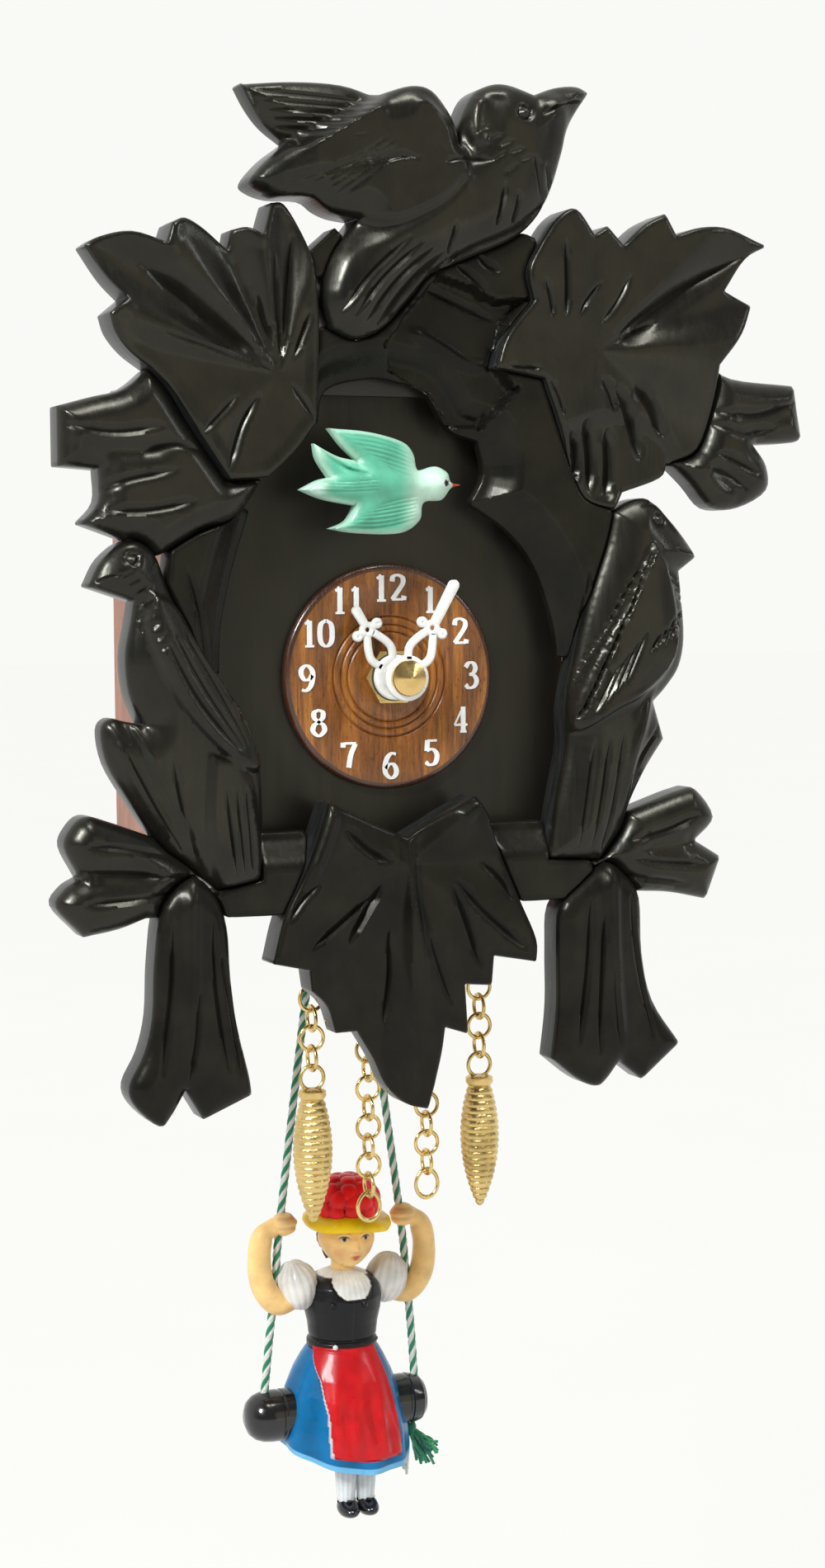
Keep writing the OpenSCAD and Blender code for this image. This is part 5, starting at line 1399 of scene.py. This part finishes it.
def hat():
    """Straw brim, yellow, under a crown of red pompoms."""
    heap = Heap()
    place = (0.9, -17.0, -99.6 + DIAL_Z)
    brim = [(0.02, -0.3), (4.5, -0.6), (6.9, -1.15), (7.7, -1.1), (8.05, -0.4), (7.85, 0.4), (7.25, 0.9),
            (6.4, 1.2), (5.6, 1.5), (5.0, 1.8), (0.02, 1.9)]
    v, f = lathe(brim, 96, place, "z", lambda i, a: 1 + 0.018 * math.sin(5 * a + 1) * (i < 8))
    v = [(x, y, z - 0.05 * (x - place[0]) + 0.22 * math.sin(3 * math.atan2(y - place[1], x - place[0])))
         for x, y, z in v]
    heap.put(v, f, 0, YELLOW)
    rows, cols = 80, 150
    rng = random.Random(5)
    centres = []
    for height, count in ((0.12, 13), (0.42, 12), (0.75, 9), (1.1, 6), (1.5, 1)):
        for k in range(count):
            t = 2 * math.pi * (k + rng.uniform(-0.2, 0.2)) / count + height * 2
            e = height + rng.uniform(-0.05, 0.05)
            centres.append((math.cos(e) * math.cos(t), math.cos(e) * math.sin(t), math.sin(e)))
    centres = np.array(centres)
    up, a = grid_of(rows, cols, 0, math.pi / 2 - 0.01)
    n = ball(up, a)
    gap = np.arccos(np.clip(n @ centres.T, -1, 1)).min(-1)
    swell = 0.85 * np.sqrt(np.clip(1 - (gap / 0.27) ** 2, 0, 1))
    body = n * np.array((5.6, 5.6, 6.4))
    box = 1 + 0.12 * np.sin(2 * up) ** 2
    crown = body * box[..., None] + n * swell[..., None] * 0.8
    crown += np.array(place) + np.array((0, 0, 1.3))
    # Painted shade and light: the red is darker in the gaps between pompoms and lighter on their tops.
    tone = LIT_HAT_RED * (0.55 + 0.55 * np.clip(swell, 0, 1))[..., None] + np.array((0.06, 0.0, 0.0))
    heap.put_grid(crown, tone)
    heap.make("doll_bollen_hat", [DOLL_PAINT], "swing", ["doll_hat"], "red_paint", 60, True)


def arms():
    """Pleated puff sleeves, bent arms and hands closed round the cords."""
    heap = Heap()
    for side, centre, line, fist in (
            (-1, (-8.5, -16, -110.9), [(-9.3, -16, -113.2), (-12.6, -16.4, -113.6), (-15.1, -16.4, -110.2),
                                       (-15.7, -16.2, -105.6), (-14.9, -16, -101.4), (-12.2, -16, -99.6)],
             (-11.0, -16.3, -99.5)),
            (1, (8.8, -16, -111.2), [(9.6, -16, -113.4), (12.9, -16.4, -113.8), (15.5, -16.4, -110.6),
                                     (16.2, -16.2, -105.8), (15.4, -16, -101.8), (13.2, -16, -100.0)],
             (12.0, -16.3, -99.9))):
        up, a = ball_grid(60, 110)
        pleat = 1 + 0.035 * np.abs(np.sin(8 * a)) * np.cos(up) ** 0.5
        pleat += 0.02 * np.sin(5 * up + 2 * np.sin(3 * a))
        x0, y0, z0 = np.moveaxis(ball(up, a) * (3.75, 3.9, 4.5) * pleat[..., None], -1, 0)
        tilt = math.radians(14 * side)
        x = x0 * math.cos(tilt) + z0 * math.sin(tilt)
        z = z0 * math.cos(tilt) - x0 * math.sin(tilt)
        # Painted shade: the sleeve is darker in the valleys between its pleats.
        shade = CREAM * (0.86 + 0.14 * np.abs(np.sin(8 * a)))[..., None]
        heap.put_grid(np.stack([x + centre[0], y0 + centre[1], z + centre[2] + DIAL_Z], -1), shade)
        path = curve_through([(x, y, z + DIAL_Z) for x, y, z in line], 60)
        t = np.linspace(0, 1, 60)
        thick = 2.05 + 0.2 * np.sin(math.pi * np.clip(t * 1.6, 0, 1)) - 0.45 * smoothstep((t - 0.72) / 0.2)
        heap.put(*tube(path, thick, 26), 0, SKIN_TONE)
        up, a = ball_grid(44, 64)
        towards = np.clip(-np.cos(a) * side, 0, 1) * 0.6 + np.clip(-np.sin(a), 0, 1) * 0.6
        knuckle = 1 + 0.07 * np.sin(up * 7.5) * np.clip(towards, 0, 1)
        closed = ball(up, a) * (2.35, 2.25, 2.15)
        closed[..., :2] *= knuckle[..., None]
        # Painted shade in the creases between the fingers.
        painted_crease_shade = np.clip(-np.sin(up * 7.5) * towards, 0, 1)
        tone = SKIN_TONE + (np.array((0.6, 0.3, 0.13)) - SKIN_TONE) * (0.7 * painted_crease_shade)[..., None]
        heap.put_grid(closed + fist + (0, 0, DIAL_Z), tone)
    heap.make("doll_sleeves_and_arms", [DOLL_PAINT], "swing", ["doll_arms"], "skin", 60, True)


def legs():
    """Ribbed stockings and black strapped shoes."""
    heap = Heap()
    sides = 48
    for x in (-1.55, 2.15):
        sock = [(1.5, 1.5), (1.85, 1.2), (1.95, 0), (1.8, -2.2), (1.6, -4.2), (1.62, -5.2), (1.2, -5.6)]
        v, f = lathe(sock, sides, (x, -21.6, -144.4 + DIAL_Z), "z",
                     lambda i, a: 1 + 0.022 * math.sin(12 * a))
        # Painted shade: the stocking is darker between its ribs.
        shade = 0.9 + 0.1 * np.sin(12 * 2 * math.pi * (np.arange(len(v)) % sides) / sides)
        heap.put(v, f, 0, np.array((0.8, 0.84, 0.86)) * shade[:, None])
        up, a = ball_grid(36, 56)
        toe = np.clip(-np.sin(a), 0, 1)
        sx, sy = 1.9 * np.cos(up) * np.cos(a), 3.1 * np.cos(up) * np.sin(a)
        sz = np.maximum(1.75 * np.sin(up) * (1 - 0.28 * toe), -1.25) - 0.35 * toe
        heap.put_grid(np.stack([x + sx, -22.6 + sy, np.maximum(-150.7 + sz, -152.2) + DIAL_Z], -1), mat=1)
        strap = [(x + dx, y, z + DIAL_Z) for dx, y, z in ((-1.6, -21.6, -149.6), (0, -23.4, -149.4),
                                                          (1.6, -21.6, -149.6))]
        heap.put(*tube(strap, 0.3, 8), 1)
    heap.make("doll_stockings_and_shoes", [DOLL_PAINT, GLOSS_BLACK], "swing", ["doll_legs"], "stockings", 50,
              True)


def seat():
    """Turned and lacquered swing seat with rounded ends and a lip round each."""
    shape = [(0.02, -18.6), (1.6, -18.5), (3.0, -17.9), (3.9, -16.9), (4.4, -15.6), (4.6, -14), (4.6, -12.6),
             (4.42, -12.4), (4.42, -12.0), (4.6, -11.8), (4.55, 0), (4.6, 11.8), (4.42, 12.0), (4.42, 12.4),
             (4.6, 12.6), (4.5, 13.4), (4.2, 14.6), (3.4, 15.4), (2.0, 15.9), (0.02, 16.0)]
    v, f = lathe(shape, 72, (0, SWING_Y, -133 + DIAL_Z), "x")
    build("seat_roller", v, f, [GLOSS_BLACK], "swing", ["swing_seat"], sharp=25)


trunk()
head()
hat()
arms()
legs()
seat()
DOLL_LIFT = 1.2  # how far the doll sits above its CAD solids, to match the photo
for lifted in ("doll_dress", "doll_face", "doll_bollen_hat", "doll_sleeves_and_arms",
               "doll_stockings_and_shoes"):
    bpy.data.objects[lifted].data.transform(Matrix.Translation((0, 0, DOLL_LIFT * MM)))


# ---------------------------------------------------------------- carried-over parts
PAINT_STARTS = (-0.0366, -0.0368)  # metres in y: the case is black in front of this


def black_edge():
    """Case wood with its front edge painted black like the carving."""
    n = Nodes("case_wood_top", CASE_TONES[1], 0.42, coat=0.15, coat_rough=0.12)
    grain = n.noise(120, 6, 0.62, 1.6, n.stretch((0.09, 1, 1)))
    wood = n.ramp(grain, list(zip((0.28, 0.5, 0.72), CASE_TONES)))
    parts = n.add("ShaderNodeSeparateXYZ")
    n.link(n.place, parts.inputs[0])
    wobble = n.math("MULTIPLY", n.noise(300, 3), 0.0008)
    painted_part = n.span(n.math("ADD", parts.outputs["Y"], wobble), *PAINT_STARTS)
    n.color(n.mix(painted_part, wood, (0.012, 0.011, 0.009)))
    n.bump(grain, 0.0001, 0.3)
    return n.mat


def panel_black():
    """Dull hand-painted black of the board behind the dial, with upright brush marks."""
    n = Nodes("panel_black", (0.016, 0.014, 0.01), 0.42, coat=0.05, coat_rough=0.3, spec=0.36)
    n.set("Specular Tint", WARM_GLOSS)
    brush = n.noise(420, 4, 0.6, 0.3, n.stretch((1, 1, 0.05)))
    cloud = n.noise(60, 3)
    n.color(n.ramp(cloud, [(0.3, (0.006, 0.0055, 0.0045)), (0.7, (0.012, 0.0105, 0.007))]))
    n.rough(brush, 0.36, 0.5)
    n.bump(brush, 0.00006, 0.5)
    return n.mat


KNOB_BLACK = enamel("knob_black", (0.02, 0.02, 0.022), (0.04, 0.04, 0.04), 0.4, 0.1, 600)
for mat, names in (
        (panel_black(), "dial_board"), (black_edge(), "case_top"), (PANEL_WOOD, "back_panel"),
        (CASE_WOOD, "case_left case_right case_bottom"), (CAST_BRASS, "mounting_nut"), (BRASS, "chain_eyes"),
        (STEEL, "hanger_plate stator minute_arbor pendulum_bar pendulum_magnet bird_crank"),
        (GREY_PLASTIC, "movement_housing movement_cover"), (BATTERY_SKIN, "battery"),
        (BOARD_GREEN, "circuit_board"), (COPPER, "motor_coil drive_coil"), (KNOB_BLACK, "setting_knob"),
        (PALE_PLASTIC, "rotor intermediate_wheel third_wheel centre_wheel change_wheel hour_wheel")):
    for node_name in names.split():
        for material_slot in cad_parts[node_name].material_slots:
            material_slot.material = mat


# ---------------------------------------------------------------- light
# The world is brightest behind the clock and dim in front, so that the carving keeps its dark gloss.
world = bpy.data.worlds.new("world")
scene.world = world
world.use_nodes = True
tree = world.node_tree
sky = tree.nodes["Background"]
split = tree.nodes.new("ShaderNodeSeparateXYZ")
tree.links.new(tree.nodes.new("ShaderNodeTexCoord").outputs["Generated"], split.inputs["Vector"])
front_to_back = tree.nodes.new("ShaderNodeMapRange")
for socket, value in (("From Min", -0.45), ("From Max", 0.3), ("To Min", 0.2), ("To Max", 0.95)):
    front_to_back.inputs[socket].default_value = value
tree.links.new(split.outputs["Y"], front_to_back.inputs["Value"])
tree.links.new(front_to_back.outputs["Result"], sky.inputs["Strength"])
PALE = (1.0, 1.0, 0.975, 1)
sky.inputs["Color"].default_value = PALE


LIT_POINT = Vector((0, -0.045, -0.07))


def softbox(name, where, size, power, color):
    """A rectangular studio light turned to the middle of the clock."""
    data = bpy.data.lights.new(name, "AREA")
    data.shape = "RECTANGLE"
    data.size, data.size_y = size
    data.energy = power
    data.color = color
    obj = bpy.data.objects.new(name, data)
    scene.collection.objects.link(obj)
    obj.location = where
    obj.rotation_euler = (LIT_POINT - Vector(where)).to_track_quat("-Z", "Y").to_euler()


softbox("key", (0.5, -1.3, 0.05), (0.75, 0.95), 1.25, (1.0, 0.9, 0.6))
softbox("window", (-1.1, -0.85, 0.9), (0.26, 0.36), 26.0, (0.95, 0.98, 1.0))
softbox("top", (0.1, -0.6, 1.25), (0.55, 0.32), 10.0, (1.0, 0.99, 0.97))
softbox("lamp", (0.7, -0.6, 0.35), (0.06, 0.3), 0.8, (0.9, 0.95, 1.0))

FLOOR_Z, FLOOR_HALF = -0.27, 8.0
floor_mat = Nodes("pale_floor", (0.05, 0.05, 0.05), 0.9, spec=0.0)
floor_tone = floor_mat.noise(9, 3)
floor_mat.color(floor_mat.ramp(floor_tone, [(0.3, (0.045, 0.045, 0.044)), (0.7, (0.055, 0.055, 0.054))]))
floor_mat.set("Emission Color", PALE)
floor_mat.set("Emission Strength", 0.91)
floor_mesh = bpy.data.meshes.new("floor")
floor_corners = [(x * FLOOR_HALF, y * FLOOR_HALF, FLOOR_Z) for x, y in ((-1, -1), (1, -1), (1, 1), (-1, 1))]
floor_mesh.from_pydata(floor_corners, [], [(0, 1, 2, 3)])
floor_mesh.materials.append(floor_mat.mat)
floor = bpy.data.objects.new("floor", floor_mesh)
scene.collection.objects.link(floor)
